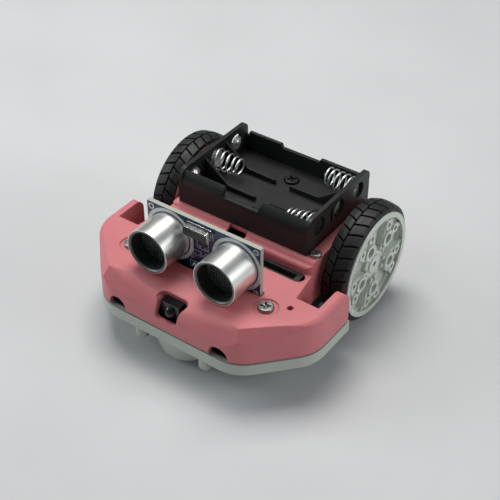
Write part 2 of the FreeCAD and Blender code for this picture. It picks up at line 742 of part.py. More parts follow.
# ------------------------------------------------------------------ ranging board
rb = poly([("0 - range_w/2", "range_z"), ("range_w/2", "range_z"), ("range_w/2", "range_z + range_h"),
           ("0 - range_w/2", "range_z + range_h")], "XZ", 0, "board_t")
rh = []
for sx in (-1, 1):
    for sz in (0, 1):
        rh.append(cyl("range_w/2 - 1.7" if sx > 0 else "1.7 - range_w/2", -1,
                      "range_z + range_h - 1.8" if sz else "range_z + 1.8", 0.75, 4, "y"))
rh += [box((i - 1.5) * 2.54 - 0.34, (i - 1.5) * 2.54 + 0.34, -1, 3, 28.38, 29.06) for i in range(4)]
node("range_board", cut(rb, *rh))


def screen_shape(x, y, z, r):
    """flat round screen, 0.4 mm thick, with square openings on a 1 mm grid"""
    rim = Part.Wire([Part.makeCircle(r, V(x, y, z), V(0, 1, 0))])
    f = Part.Face(rim)
    holes = []
    for a in range(-7, 8):
        for b in range(-7, 8):
            if math.hypot(a, b) + 0.55 < r - 0.7:
                x0, z0, w = x + a, z + b, 0.31
                holes.append(Part.makePolygon([V(x0 - w, y, z0 - w), V(x0 + w, y, z0 - w), V(x0 + w, y, z0 + w), V(x0 - w, y, z0 + w), V(x0 - w, y, z0 - w)]))
    f = f.cut([Part.Face(h) for h in holes])
    return f.extrude(V(0, 0.4, 0))


for sx, side in ((1, "right"), (-1, "left")):
    x = "can_x" if sx > 0 else "0 - can_x"
    body = fuse(cyl(x, "0 - can_len", "can_z", "can_r", "can_len", "y"))
    # rolled front edge: shallow bevel, then the open mouth
    mouth = fuse(cyl(x, "0 - can_len - 1", "can_z", "can_r - 1.15", "can_len - 1.2 + 1", "y"))
    bev = cone(x, "0 - can_len - 0.01", "can_z", "can_r - 0.75", "can_r - 1.15", 0.5, "y")
    can = cut(body, mouth, bev)
    node("transducer_can_" + side, can)
    # sunk mesh face over a conical horn
    gs = screen_shape(P("can_x") * sx, 5.4 - P("can_len"), P("can_z"), P("can_r") - 1.2)
    node("transducer_mesh_" + side, feature(gs))
    node("transducer_cone_" + side, cone(x, "6.2 - can_len", "can_z", 2.0, 5.6, 4.5, "y"))

# crystal can: long rounded metal box
xt = poly([(-5.7, 42.2), (3.9, 42.2), (3.9, 45.5), (-5.7, 45.5)], "XZ", -2.8, 2.6,
          {(-5.7, 42.2): 0.9, (3.9, 42.2): 0.9, (3.9, 45.5): 0.9, (-5.7, 45.5): 0.9})
xf = poly([(-6.1, 41.8), (4.7, 41.8), (4.7, 46.2), (-6.1, 46.2)], "XZ", -0.75, 0.7,
          {(-6.1, 41.8): 1.2, (4.7, 41.8): 1.2, (4.7, 46.2): 1.2, (-6.1, 46.2): 1.2})
node("crystal_can", fuse(xt, xf))
rc = [box(-14.0, -8.8, 1.6, 3.1, 32.0, 38.0), box(-2.9, 2.9, 1.6, 3.1, 34.0, 42.6), box(8.8, 14.0, 1.6, 3.1, 32.0, 38.0)]
node("range_chips", group(*rc))

# ------------------------------------------------------------------ top shell
pts, rd = plan(0.15, "side_end_y - 0.7", False)
skin = poly(pts, "XY", "shell_z", "deck_z - shell_z", rd)
tail = poly([("0 - mid_half_x - 0.3", 4.0), ("mid_half_x + 0.3", 4.0), ("mid_half_x + 0.3", "rear_y"), ("0 - mid_half_x - 0.3", "rear_y")],
            "XY", "shell_z", "deck_z - shell_z")
blk_plan = poly([("0 - block_left_x", 17.0), ("mid_half_x + 0.3", 17.0), ("mid_half_x + 0.3", "rear_y"), ("0 - block_left_x", "rear_y")],
                "XY", "shell_z", "block_z + 3 - shell_z",
                {("0 - block_left_x", 17.0): 2.5, ("mid_half_x + 0.3", 17.0): 2.5,
                 ("mid_half_x + 0.3", "rear_y"): 3.0, ("0 - block_left_x", "rear_y"): 3.0})
blk_side = poly([(15.0, "shell_z"), (17.0, "deck_z - 0.5"), (17.0, "block_z - 2.2"), (17.35, "block_z - 1.5"), (17.9, "block_z - 1.2"), (18.7, "block_z - 1.1"),
                 (19.0, "block_z - 0.6"), (19.4, "block_z - 0.2"), (20.1, "block_z"), ("rear_y", "block_z"), ("rear_y", "shell_z")],
                "YZ", -40, 80)
block = common(blk_plan, blk_side)
# wings rise a little above the deck behind the notches
solid_shell = fuse(skin, tail, block)


def notch(s):
    pts = [(s * 32.5, "notch_y"), ("notch_out_x" if s > 0 else "0 - notch_out_x", "notch_y"),
           ("notch_out_x" if s > 0 else "0 - notch_out_x", 70), (s * 30.3, 70), (s * 30.3, 19.6)]
    return poly(pts, "XY", 5, 50)


# front: chamfer plane and dished slope
chamfer = poly([(-30, 20.7), (-20.15, 20.7), (-20.11, 21.33), (-19.99, 21.95), (-19.79, 22.56), (-19.52, 23.12), (-13.2, 34.48), (-30, 34.48)], "YZ", -60, 120)
dish = cyl(0, -6.0, 0, 118.0, 90, "z")
ang = math.degrees(math.atan2(2.5, 12.0))
rotd = FreeCAD.Rotation(V(1, 0, 0), 90 + ang)
dish.Placement = FreeCAD.Placement(V(0, -6.0, P("deck_z")) + FreeCAD.Rotation(V(1, 0, 0), ang).multVec(V(0, 0, 118.0)) + FreeCAD.Rotation(V(1, 0, 0), ang).multVec(V(0, 40, 0)), rotd)
doc.recompute()
# the bevel runs into the dish over a long soft round
slope = fuse(chamfer, dish)
doc.recompute()
meet = [k for k, e in enumerate(slope.Shape.Edges, 1)
        if e.Length > 60 and 24 < e.BoundBox.ZMin < 27 and e.BoundBox.YMin < -14 and e.BoundBox.YMax < 0]
slope_r = doc.addObject("Part::Fillet", nm("brow"))
slope_r.Base = slope
slope_r.Edges = [(k, 4.0, 4.0) for k in meet]
doc.recompute()
if slope_r.Shape.isNull() or not slope_r.Shape.isValid():
    raise SystemExit("brow round failed")
body = cut(solid_shell, notch(1), notch(-1))
doc.recompute()

# round the long top edges of the slanted corners, the sides and the wings
def soft_edges(o, r):
    sh = o.Shape
    want = []
    for k, e in enumerate(sh.Edges, 1):
        bb = e.BoundBox
        if bb.ZMin > P("deck_z") - 0.05 and bb.ZMax < P("deck_z") + 0.05:
            m = e.valueAt((e.FirstParameter + e.LastParameter) / 2)
            # on the outer outline of the plan
            if abs(m.x) > 24 and (abs(abs(m.x) - P("base_half_x") + 0.15) < 0.05 or (m.y < 6.0 and abs(m.x) > 24.0 and is_rim(m))):
                want.append(k)
    return want


def is_rim(m):
    # distance to the straight slanted edge of the plan
    x0, y0, x1, y1 = P("corner_x"), P("base_front_y"), P("base_half_x"), P("corner_y")
    n = V(y1 - y0, -(x1 - x0), 0)
    n.normalize()
    d = (abs(m.x) - x0) * n.x + (m.y - y0) * n.y
    return -1.6 < d < 0.3


ids = soft_edges(body, 2.0)
print("rim edges", ids)
body_r = doc.addObject("Part::Fillet", nm("softrim"))
body_r.Base = body
body_r.Edges = [(k, 2.0, 2.0) for k in ids]
doc.recompute()
if body_r.Shape.isNull() or not body_r.Shape.isValid() or body_r.Shape.Volume < 0.8 * body.Shape.Volume:
    print("rim fillet failed")
    doc.removeObject(body_r.Name)
    body_r = body
# the wings end in a long round
ends_r = []
for sx in (-1, 1):
    x0 = 38.0 if sx > 0 else -46.0
    ends_r.append(cut(box(x0, x0 + 8, "side_end_y - 4.7", "side_end_y + 1", "deck_z - 4", "deck_z + 2"),
                      cyl(x0 - 1, "side_end_y - 4.7", "deck_z - 4", 4.0, 10, "x")))


# the bevel carries on along the slanted corners and dies away towards the wings
def corner_bevel(sx, sink):
    t = V(P("base_half_x") - P("corner_x"), P("corner_y") - P("base_front_y"), 0)
    t.normalize()
    out = V(t.y, -t.x, 0)
    at = V(P("corner_x"), P("base_front_y"), 0) + t * 2.6 + out * (-0.15) + V(0, 0, P("deck_z") - 4.8)
    face = t * -0.0908 + out * 0.840 + V(0, 0, 0.534)
    face.normalize()
    if sx < 0:
        at.x, face.x = -at.x, -face.x
    b = box(-45, 45, -45, 45, 0, 25)
    doc.recompute()
    b.Placement = FreeCAD.Placement(at - face * sink, FreeCAD.Rotation(V(0, 0, 1), face)).multiply(FreeCAD.Placement(V(-45, -45, 0), FreeCAD.Rotation()))
    doc.recompute()
    return b


body_r = cut(body_r, slope_r, corner_bevel(1, 0), corner_bevel(-1, 0), *ends_r)

# hollow
pts, rd = plan(1.75, 9.0, True, 30.0, 18.0)
hol_front = poly(pts, "XY", 5, 40, rd)
hol_plan = fuse(hol_front, poly([(-28.7, 3), (28.7, 3), (28.7, "rear_y - 1.6"), (-28.7, "rear_y - 1.6")], "XY", 5, 40))
hol_side = poly([(-18.7, 5), (-18.7, 20.8), (-16.6, 24.3), (-6.5, 25.2), (-4.0, "deck_z - 1.6"), (18.7, "deck_z - 1.6"), (18.7, "block_z - 1.6"),
                 ("rear_y - 1.6", "block_z - 1.6"), ("rear_y - 1.6", 5)], "YZ", -60, 120)
hol = common(hol_plan, hol_side)
notch_keep = [poly([(s * 30.9, 3.9), (s * 46, 3.9), (s * 46, 25), (s * 28.6, 25), (s * 28.6, 19.4)], "XY", 5, 60) for s in (1, -1)]
notch_keep.append(box(-40, "1.6 - block_left_x", 10, 62, "deck_z - 1.6", 60))
hol = cut(hol, corner_bevel(1, 1.5), corner_bevel(-1, 1.5), *notch_keep)
shell = cut(body_r, hol)
# bosses
bosses = []
for sx in (-1, 1):
    bosses.append(cyl("screw_x" if sx > 0 else "0 - screw_x", "screw_y", "shell_z", 3.0, "deck_z - shell_z - 1"))
    if sx > 0:
        bosses.append(cyl("rear_screw_x", "rear_screw_y", "shell_z", 1.95, "block_z - shell_z - 1"))
    bosses.append(cyl(0, 28.2 if sx > 0 else 51.2, 26.0, 2.6, "block_z - 26.5"))
shell = fuse(shell, *bosses)
cuts = []
for sx in (-1, 1):
    x = "screw_x" if sx > 0 else "0 - screw_x"
    xr = "rear_screw_x" if sx > 0 else "0 - rear_screw_x"
    cuts.append(cyl(x, "screw_y", 10, 1.5, 30))
    cuts.append(cyl(x, "screw_y", "deck_z - 0.35", 4.15, 3))
    if sx > 0:
        cuts.append(cyl(xr, "rear_screw_y", 10, 1.3, 30))
        cuts.append(cyl(33.5, 0.6, 20, 1.05, 20))
    cuts.append(cyl(sx * 20.5, -26, 16.8, 3.5, 12, "y"))
    # shaft slots, open at the lower edge
    s0, s1 = (28, 31) if sx > 0 else (-31, -28)
    cuts.append(box(s0, s1, "wheel_y - 2.4", "wheel_y + 2.4", 10, "wheel_z"))
    cuts.append(cyl(s0, "wheel_y", "wheel_z", 2.4, 3, "x"))
    cuts.append(cyl(0, 28.2 if sx > 0 else 51.2, 25, 1.3, 12))
# ranging board slit and socket opening
cuts.append(box(-22.9, 22.9, -0.4, 2.0, 25.0, 40))
cuts.append(box(-10.2, 10.2, -2.3, 4.6, 25.0, 40))
# edge connector slot with round ends
sm = "(slot_y0 + slot_y1)/2"
sr = "(slot_y1 - slot_y0)/2"
cuts.append(box("(slot_y1 - slot_y0)/2 - slot_half_x", "slot_half_x - (slot_y1 - slot_y0)/2", "slot_y0", "slot_y1", 20, 40))
cuts.append(cyl("slot_half_x - (slot_y1 - slot_y0)/2", sm, 20, sr, 20))
cuts.append(cyl("(slot_y1 - slot_y0)/2 - slot_half_x", sm, 20, sr, 20))
# centre notch in the ledge
cuts.append(box(-3.9, 3.4, 16.9, 20.6, "deck_z", 40))
# switch opening in the rear wall
cuts.append(box(10.7, 15.9, 50, 62, "board_z + board_t + 0.8", "board_z + board_t + 2.8"))


def window():
    """slot for the receiver: rounded foot, straight sides, cheeks that flare outwards above"""
    def outline(y, wx, z0, z1, top):
        pts = []
        for a in range(180, 271, 15):
            pts.append(V(-wx + 1.6 + 1.6 * math.cos(math.radians(a)), y, z0 + 1.6 + 1.6 * math.sin(math.radians(a))))
        for a in range(270, 361, 15):
            pts.append(V(wx - 1.6 + 1.6 * math.cos(math.radians(a)), y, z0 + 1.6 + 1.6 * math.sin(math.radians(a))))
        # cheeks: quarter curves that turn from upright to nearly level
        for t in (0.0, 0.2, 0.4, 0.6, 0.8, 1.0):
            pts.append(V(wx + top * (1 - math.cos(t * math.pi / 2)), y, z1 + 3.4 * math.sin(t * math.pi / 2)))
        pts.append(V(wx + top, y, 34.0))
        pts.append(V(-wx - top, y, 34.0))
        for t in (1.0, 0.8, 0.6, 0.4, 0.2, 0.0):
            pts.append(V(-wx - top * (1 - math.cos(t * math.pi / 2)), y, z1 + 3.4 * math.sin(t * math.pi / 2)))
        pts.append(pts[0])
        return Part.makePolygon(pts)
    w = Part.Face(outline(-26.0, 4.3, 19.7, 22.6, 1.5)).extrude(V(0, 12.0, 0))
    # its rear corners are round when seen from above
    k = 2.6 * (1 - math.sqrt(0.5))
    es = [Part.makeLine(V(-5.9, -27, 0), V(5.9, -27, 0)), Part.makeLine(V(5.9, -27, 0), V(5.9, -16.6, 0)),
          Part.Arc(V(5.9, -16.6, 0), V(5.9 - k, -14 - k, 0), V(3.3, -14, 0)).toShape(), Part.makeLine(V(3.3, -14, 0), V(-3.3, -14, 0)),
          Part.Arc(V(-3.3, -14, 0), V(-5.9 + k, -14 - k, 0), V(-5.9, -16.6, 0)).toShape(), Part.makeLine(V(-5.9, -16.6, 0), V(-5.9, -27, 0))]
    return w.common(Part.Face(Part.Wire(es)).extrude(V(0, 0, 60)))


cuts.append(feature(window()))
# room for the slot contacts and the boards: the connector passes the slot only
shell = cut(shell, *cuts)
node("top_shell", shell)

ss = pan_screw(2.65, 1.2, 1.45, 15.4)
s2 = pan_screw(1.95, 1.15, 1.2, 19.6)
node("deck_screws", group(*[feature(placed(ss, sx * P("screw_x"), P("screw_y"), P("deck_z") - 0.35, 10 * sx)) for sx in (-1, 1)]))
node("block_screw", feature(placed(s2, P("rear_screw_x"), P("rear_screw_y"), P("block_z"), 30)))

# ------------------------------------------------------------------ battery holder
hx, y0, y1, zt, zf = "holder_half_x", "holder_y0", "holder_y1", "holder_top_z", "holder_floor_z"
floor = box("0 - holder_half_x", hx, y0, y1, "block_z", zf)
ends = []
for sx in (-1, 1):
    xs = "holder_half_x - plate_t" if sx > 0 else "0 - holder_half_x"
    ends.append(poly([(y0, "block_z"), (y1, "block_z"), (y1, zt), (y0, zt)], "YZ", xs, "plate_t",
                     {(y0, zt): 3.6, (y1, zt): 2.6}))


def front_wall():
    """front wall with inward curled lip, centre part cut lower"""
    ya, z0, zc = P("holder_y0"), P("block_z"), 39.9
    yc = ya + 6.9
    pts = [V(0, ya, z0), V(0, ya, zc)]
    arc1 = [V(0, yc - 6.9 * math.cos(math.radians(a)), zc + 6.9 * math.sin(math.radians(a))) for a in (0, 24, 48)]
    arc2 = [V(0, yc - 5.7 * math.cos(math.radians(a)), zc + 5.7 * math.sin(math.radians(a))) for a in (48, 24, 0)]
    es = [Part.makeLine(pts[0], pts[1]), Part.Arc(*arc1).toShape(), Part.makeLine(arc1[2], arc2[0]), Part.Arc(*arc2).toShape(),
          Part.makeLine(arc2[2], V(0, ya + 1.2, z0)), Part.makeLine(V(0, ya + 1.2, z0), pts[0])]
    s = Part.Face(Part.Wire(es)).extrude(V(2 * P("holder_half_x") - 1, 0, 0))
    s.translate(V(-P("holder_half_x") + 0.5, 0, 0))
    notch = Part.Face(Part.makePolygon([V(-8.2, 15, 50), V(-7.6, 15, 41.6), V(6.6, 15, 41.6), V(8.4, 15, 50), V(-8.2, 15, 50)])).extrude(V(0, 14, 0))
    return s.cut(notch)


fw = feature(front_wall())
rw = poly([("0.5 - holder_half_x", "block_z"), ("holder_half_x - 0.5", "block_z"), ("holder_half_x - 0.5", 42.2), (7.2, 42.2), (6.6, 40.8),
           (-8.8, 40.8), (-9.4, 42.2), (-23.2, 42.2), (-23.2, 40.6), ("0.5 - holder_half_x", 40.6)], "XZ", "holder_y1 - 1.3", 1.3)
ribs = []
for yb in ("bay_mid_y - bay_pitch/2", "bay_mid_y + bay_pitch/2"):
    for s in (-1, 1):
        e = s * 25.0
        ribs.append(poly([(s * 2.6 if s > 0 else -3.4, 34.0), (e, 34.0), (e, 43.9), (s * 24.7, 43.9), (s * 15.4, 36.8), (s * 14.0, 36.4), (s * 2.6 if s > 0 else -3.4, 36.2)],
                         "XZ", yb + " - 0.5", 1.0))
holder = fuse(floor, fw, rw, *(ends + ribs))
hc = []
for sx in (-1, 1):
    xo0, xo1 = ("holder_half_x - 0.7", "holder_half_x + 1") if sx > 0 else ("0 - holder_half_x - 1", "0.7 - holder_half_x")
    xi = "holder_half_x - 3" if sx > 0 else "0 - holder_half_x - 1"
    for k in (-1, 0, 1):
        yy = "bay_mid_y + bay_pitch" if k > 0 else ("bay_mid_y - bay_pitch" if k < 0 else "bay_mid_y")
        if k == -1 * 1 and sx > 0:
            hc.append(cyl(xo0, yy, "contact_z", 3.3, 3, "x"))
        else:
            hc.append(cyl(xi, yy, "contact_z", 3.2, 4, "x"))
    hc.append(box("holder_half_x - 3" if sx > 0 else "0 - holder_half_x - 1", "holder_half_x + 1" if sx > 0 else "3 - holder_half_x",
                  "bay_mid_y - bay_pitch/2 + 0.9", "bay_mid_y - bay_pitch/2 + 2.0", "contact_z - 3.0", "contact_z + 2.7"))
    hc.append(cyl(0, 28.2 if sx > 0 else 51.2, 30, 1.35, 10))
    hc.append(cyl(0, 28.2 if sx > 0 else 51.2, "holder_floor_z - 0.5", 2.9, 3))
holder = cut(holder, *hc)
# polarity arrow, raised in the blind recess
arrow = poly([("bay_mid_y - bay_pitch - 1.6", "contact_z - 0.4"), ("bay_mid_y - bay_pitch + 0.4", "contact_z - 0.4"), ("bay_mid_y - bay_pitch + 0.4", "contact_z - 1.3"),
              ("bay_mid_y - bay_pitch + 2.0", "contact_z"), ("bay_mid_y - bay_pitch + 0.4", "contact_z + 1.3"), ("bay_mid_y - bay_pitch + 0.4", "contact_z + 0.4"),
              ("bay_mid_y - bay_pitch - 1.6", "contact_z + 0.4")], "YZ", "holder_half_x - 0.8", 0.5)
holder = fuse(holder, arrow)
node("battery_holder", holder)

# contact plates: thin strips on the inside of the end plates, dimples for the cell caps
cp = []
dom = []


def dimple(s, y):
    x = P("holder_half_x") - P("plate_t") - 0.35
    d = Part.makeSphere(2.2, V(x + 1.2, y, P("contact_z"))).common(Part.makeBox(3, 6, 6, V(x - 2.7 + 0.3, y - 3, P("contact_z") - 3)))
    d = d.fuse(Part.makeCylinder(0.2, 0.4, V(x - 0.2, y, P("contact_z")), V(1, 0, 0)))
    if s < 0:
        d = d.mirror(V(0, 0, 0), V(1, 0, 0))
    return d


def strip(s, ya, yb, dy=None):
    x = P("holder_half_x") - P("plate_t") - 0.35
    b = Part.makeBox(0.3, yb - ya, 7.4, V(x, ya, P("contact_z") - 3.7))
    if s < 0:
        b = b.mirror(V(0, 0, 0), V(1, 0, 0))
    out = b
    for y in dy or []:
        out = out.fuse(dimple(s, y))
    return feature(out.removeSplitter())


def button(y, r, cap):
    """round contact on the left end plate"""
    x = P("holder_half_x") - P("plate_t") - 0.35
    out = Part.makeCylinder(r, 0.3, V(x, y, P("contact_z")), V(1, 0, 0)).mirror(V(0, 0, 0), V(1, 0, 0))
    if cap:
        out = out.fuse(dimple(-1, y))
    return feature(out.removeSplitter())


m, p = P("bay_mid_y"), P("bay_pitch")
node("contact_strips", group(strip(1, m - p - 3.6, m - p + 3.6), strip(1, m - 3.6, m + 5.3, [m]), strip(1, m + 6.9, m + p + 3.6),
                             button(m - p, 2.4, True), button(m, 3.4, False), button(m + p, 2.4, True)))


def spring_path(L, turns=4.6, r0=3.8, r1=2.9, steps=16):
    """centre line: flat inner coil on the plate, then an open helix that narrows, its last half turn flat"""
    pts = []
    for i in range(steps + 1):
        t = i / steps
        a = 2 * math.pi * t
        r = 1.3 + (r0 - 1.3) * t
        pts.append((0.3 + 0.25 * t, r * math.cos(a), r * math.sin(a)))
    n = int(turns * steps)
    for i in range(1, n + 1):
        t = i / n
        a = 2 * math.pi * (1 + turns * t)
        k = min(1.0, t / (1 - 0.5 / turns))
        pts.append((0.55 + (L - 0.55) * k, (r0 + (r1 - r0) * t) * math.cos(a), (r0 + (r1 - r0) * t) * math.sin(a)))
    return pts


def spring(s, y, L, lift):
    """eight sided wire along the centre line"""
    wr, sides = 0.3, 8
    x = P("holder_half_x") - P("plate_t") - 0.4
    pts = [V(x - p[0], y + p[1], P("contact_z") + p[2] + lift * p[0] / L) for p in spring_path(L)]
    rings = []
    for i, c in enumerate(pts):
        d = pts[min(i + 1, len(pts) - 1)] - pts[max(i - 1, 0)]
        d.normalize()
        u = V(1, 0, 0) - d * d.x
        u.normalize()
        w = d.cross(u)
        rings.append([c + u * (wr * math.cos(2 * math.pi * (j + 0.5) / sides)) + w * (wr * math.sin(2 * math.pi * (j + 0.5) / sides)) for j in range(sides)])
    faces = []
    for A, B in zip(rings, rings[1:]):
        for j in range(sides):
            k = (j + 1) % sides
            faces.append(Part.Face(Part.makePolygon([A[j], A[k], B[k], A[j]])))
            faces.append(Part.Face(Part.makePolygon([A[j], B[k], B[j], A[j]])))
    for R, o in ((rings[0], 1), (rings[-1], -1)):
        c = R[0] + (R[4] - R[0]) * 0.5
        for j in range(sides):
            faces.append(Part.Face(Part.makePolygon([R[j], R[(j + 1) % sides], c, R[j]])))
    sh = Part.Shell(faces)
    sw = Part.Solid(sh)
    if sw.Volume < 0:
        sw.reverse()
    if s < 0:
        sw = sw.mirror(V(0, 0, 0), V(1, 0, 0))
    return sw


node("contact_springs", group(feature(spring(1, m - p, 9.6, -1.2)), feature(spring(1, m + p, 9.8, 1.3)), feature(spring(-1, m, 10.0, 0.0))))
hs = pan_screw(2.6, 1.3, 1.25, 7.0)
node("holder_screws", group(*[feature(placed(hs, 0, yy, P("holder_floor_z") - 0.5, 25)) for yy in (28.2, 51.2)]))

# ------------------------------------------------------------------ check and write
doc.recompute()
bad = []
for o in doc.Objects:
    if any(s in ("Invalid", "Error") for s in o.State):
        bad.append((o.Name, o.Label, o.State))
for lab, o in NODES.items():
    s = o.Shape
    if s.isNull() or not s.isValid() or not s.Solids or s.Volume <= 0:
        bad.append((lab, "bad shape"))
if bad:
    raise SystemExit("invalid: %s" % bad)
os.makedirs("parts", exist_ok=True)
for lab, o in NODES.items():
    o.Shape.exportStep("parts/%s.step" % lab)
    print("%-24s solids %2d volume %9.1f" % (lab, len(o.Shape.Solids), o.Shape.Volume))
print("nodes", len(NODES))
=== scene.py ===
import math
import random

import bmesh
import bpy
from mathutils import Matrix, Vector


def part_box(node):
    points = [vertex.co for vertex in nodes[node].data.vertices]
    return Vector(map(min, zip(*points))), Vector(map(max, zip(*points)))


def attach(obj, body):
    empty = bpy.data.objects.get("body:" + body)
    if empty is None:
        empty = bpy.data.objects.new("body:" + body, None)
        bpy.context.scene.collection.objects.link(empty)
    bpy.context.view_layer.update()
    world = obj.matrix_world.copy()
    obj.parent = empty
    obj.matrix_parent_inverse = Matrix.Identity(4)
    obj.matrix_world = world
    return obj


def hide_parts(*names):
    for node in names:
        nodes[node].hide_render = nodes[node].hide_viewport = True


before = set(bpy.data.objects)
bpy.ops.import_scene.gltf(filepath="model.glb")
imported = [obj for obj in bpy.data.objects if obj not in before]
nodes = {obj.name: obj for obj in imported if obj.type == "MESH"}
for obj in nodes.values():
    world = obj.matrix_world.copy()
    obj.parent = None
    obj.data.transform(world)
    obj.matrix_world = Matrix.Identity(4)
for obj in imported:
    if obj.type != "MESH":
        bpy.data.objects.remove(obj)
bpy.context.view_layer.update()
MM = 0.001
DY = -21.8                     # the ranging board's front face, mm


def P3(x, y, z):
    """A point from millimetres, y counted from the ranging board's front face."""
    return Vector((x * MM, (y + DY) * MM, z * MM))


# ---------------------------------------------------------------- camera
az, el, roll = math.radians(35.447), math.radians(38.807), math.radians(0.185)
back = Vector((math.sin(az) * math.cos(el), -math.cos(az) * math.cos(el), math.sin(el)))
right = Vector((math.cos(az), math.sin(az), 0.0))
up = back.cross(right)
cx = right * math.cos(roll) + up * math.sin(roll)
cy = -right * math.sin(roll) + up * math.cos(roll)
cam_data = bpy.data.cameras.new("camera")
cam_data.sensor_width = 36.0
cam_data.lens = 79.43
cam_data.clip_start = 0.01
cam_data.clip_end = 20.0
cam = bpy.data.objects.new("camera", cam_data)
bpy.context.scene.collection.objects.link(cam)
m = Matrix((cx, cy, back)).transposed().to_4x4()
m.translation = Vector((0.172034, -0.237427, 0.258038))
cam.matrix_world = m
bpy.context.scene.camera = cam


# ---------------------------------------------------------------- node helpers
class Mat:
    """A node material, with short calls for the nodes that the finishes here share."""

    def __init__(self, name):
        self.m = bpy.data.materials.new(name)
        self.m.use_nodes = True
        self.t = self.m.node_tree
        self.t.nodes.clear()
        self.out = self.t.nodes.new("ShaderNodeOutputMaterial")
        self.b = self.t.nodes.new("ShaderNodeBsdfPrincipled")
        self.t.links.new(self.b.outputs[0], self.out.inputs[0])
        self.tc = self.t.nodes.new("ShaderNodeTexCoord")
        self.sep_ = None

    def n(self, kind, **kw):
        nd = self.t.nodes.new(kind)
        for k, v in kw.items():
            setattr(nd, k, v)
        return nd

    def put(self, sock, v):
        if hasattr(v, "is_output"):
            self.t.links.new(v, sock)
        elif isinstance(v, (tuple, list)):
            v = tuple(v)
            if len(sock.default_value) == 4 and len(v) == 3:
                v = v + (1.0,)
            sock.default_value = v
        else:
            sock.default_value = v

    def set(self, **kw):
        for k, v in kw.items():
            self.put(self.b.inputs[k.replace("_", " ")], v)
        return self

    def obj(self):
        return self.tc.outputs["Object"]

    def mapped(self, scale=(1, 1, 1), loc=(0, 0, 0), rot=(0, 0, 0)):
        mp = self.n("ShaderNodeMapping")
        self.t.links.new(self.obj(), mp.inputs["Vector"])
        mp.inputs["Scale"].default_value = scale
        mp.inputs["Location"].default_value = loc
        mp.inputs["Rotation"].default_value = rot
        return mp.outputs[0]

    def noise(self, scale, detail=2.0, rough=0.5, vec=None, dist=0.0):
        nd = self.n("ShaderNodeTexNoise")
        self.put(nd.inputs["Vector"], vec or self.obj())
        nd.inputs["Scale"].default_value = scale
        nd.inputs["Detail"].default_value = detail
        nd.inputs["Roughness"].default_value = rough
        nd.inputs["Distortion"].default_value = dist
        return nd.outputs["Fac"]

    def voronoi(self, scale, feature="F1", out="Distance", vec=None, rnd=1.0):
        nd = self.n("ShaderNodeTexVoronoi", feature=feature)
        self.put(nd.inputs["Vector"], vec or self.obj())
        nd.inputs["Scale"].default_value = scale
        nd.inputs["Randomness"].default_value = rnd
        return nd.outputs[out]

    def rng(self, v, a, b, c=0.0, d=1.0, smooth=False):
        nd = self.n("ShaderNodeMapRange", interpolation_type="SMOOTHSTEP" if smooth else "LINEAR")
        self.put(nd.inputs["Value"], v)
        for i, x in zip((1, 2, 3, 4), (a, b, c, d)):
            nd.inputs[i].default_value = x
        return nd.outputs[0]

    def op(self, kind, a, b=0.0, c=0.0, clamp=False):
        nd = self.n("ShaderNodeMath", operation=kind, use_clamp=clamp)
        self.put(nd.inputs[0], a)
        self.put(nd.inputs[1], b)
        if kind in ("MULTIPLY_ADD", "SMOOTH_MAX", "SMOOTH_MIN", "COMPARE"):
            self.put(nd.inputs[2], c)
        return nd.outputs[0]

    def mix(self, fac, a, b, blend="MIX"):
        nd = self.n("ShaderNodeMix", data_type="RGBA", blend_type=blend)
        nd.clamp_factor = True
        self.put(nd.inputs[0], fac)
        self.put(nd.inputs[6], a)
        self.put(nd.inputs[7], b)
        return nd.outputs[2]

    def xyz(self):
        if self.sep_ is None:
            nd = self.n("ShaderNodeSeparateXYZ")
            self.t.links.new(self.obj(), nd.inputs[0])
            self.sep_ = nd.outputs
        return self.sep_

    def round_(self, radius):
        nd = self.n("ShaderNodeBevel")
        nd.samples = 4
        nd.inputs["Radius"].default_value = radius
        return nd.outputs[0]

    def edge(self, radius, lo=0.04, hi=0.35):
        """1 along sharp edges, 0 on open faces."""
        g = self.n("ShaderNodeNewGeometry")
        d = self.n("ShaderNodeVectorMath", operation="DOT_PRODUCT")
        self.t.links.new(self.round_(radius), d.inputs[0])
        self.t.links.new(g.outputs["Normal"], d.inputs[1])
        return self.rng(self.op("SUBTRACT", 1.0, d.outputs["Value"]), lo, hi)

    def bump(self, height, dist, strength=1.0, normal=None):
        nd = self.n("ShaderNodeBump")
        nd.inputs["Strength"].default_value = strength
        nd.inputs["Distance"].default_value = dist
        self.put(nd.inputs["Height"], height)
        if normal is not None:
            self.t.links.new(normal, nd.inputs["Normal"])
        return nd.outputs[0]

    def add(self, *v):
        r = v[0]
        for x in v[1:]:
            r = self.op("ADD", r, x)
        return r


def scl(c, k):
    return tuple(min(1.0, x * k) for x in c)


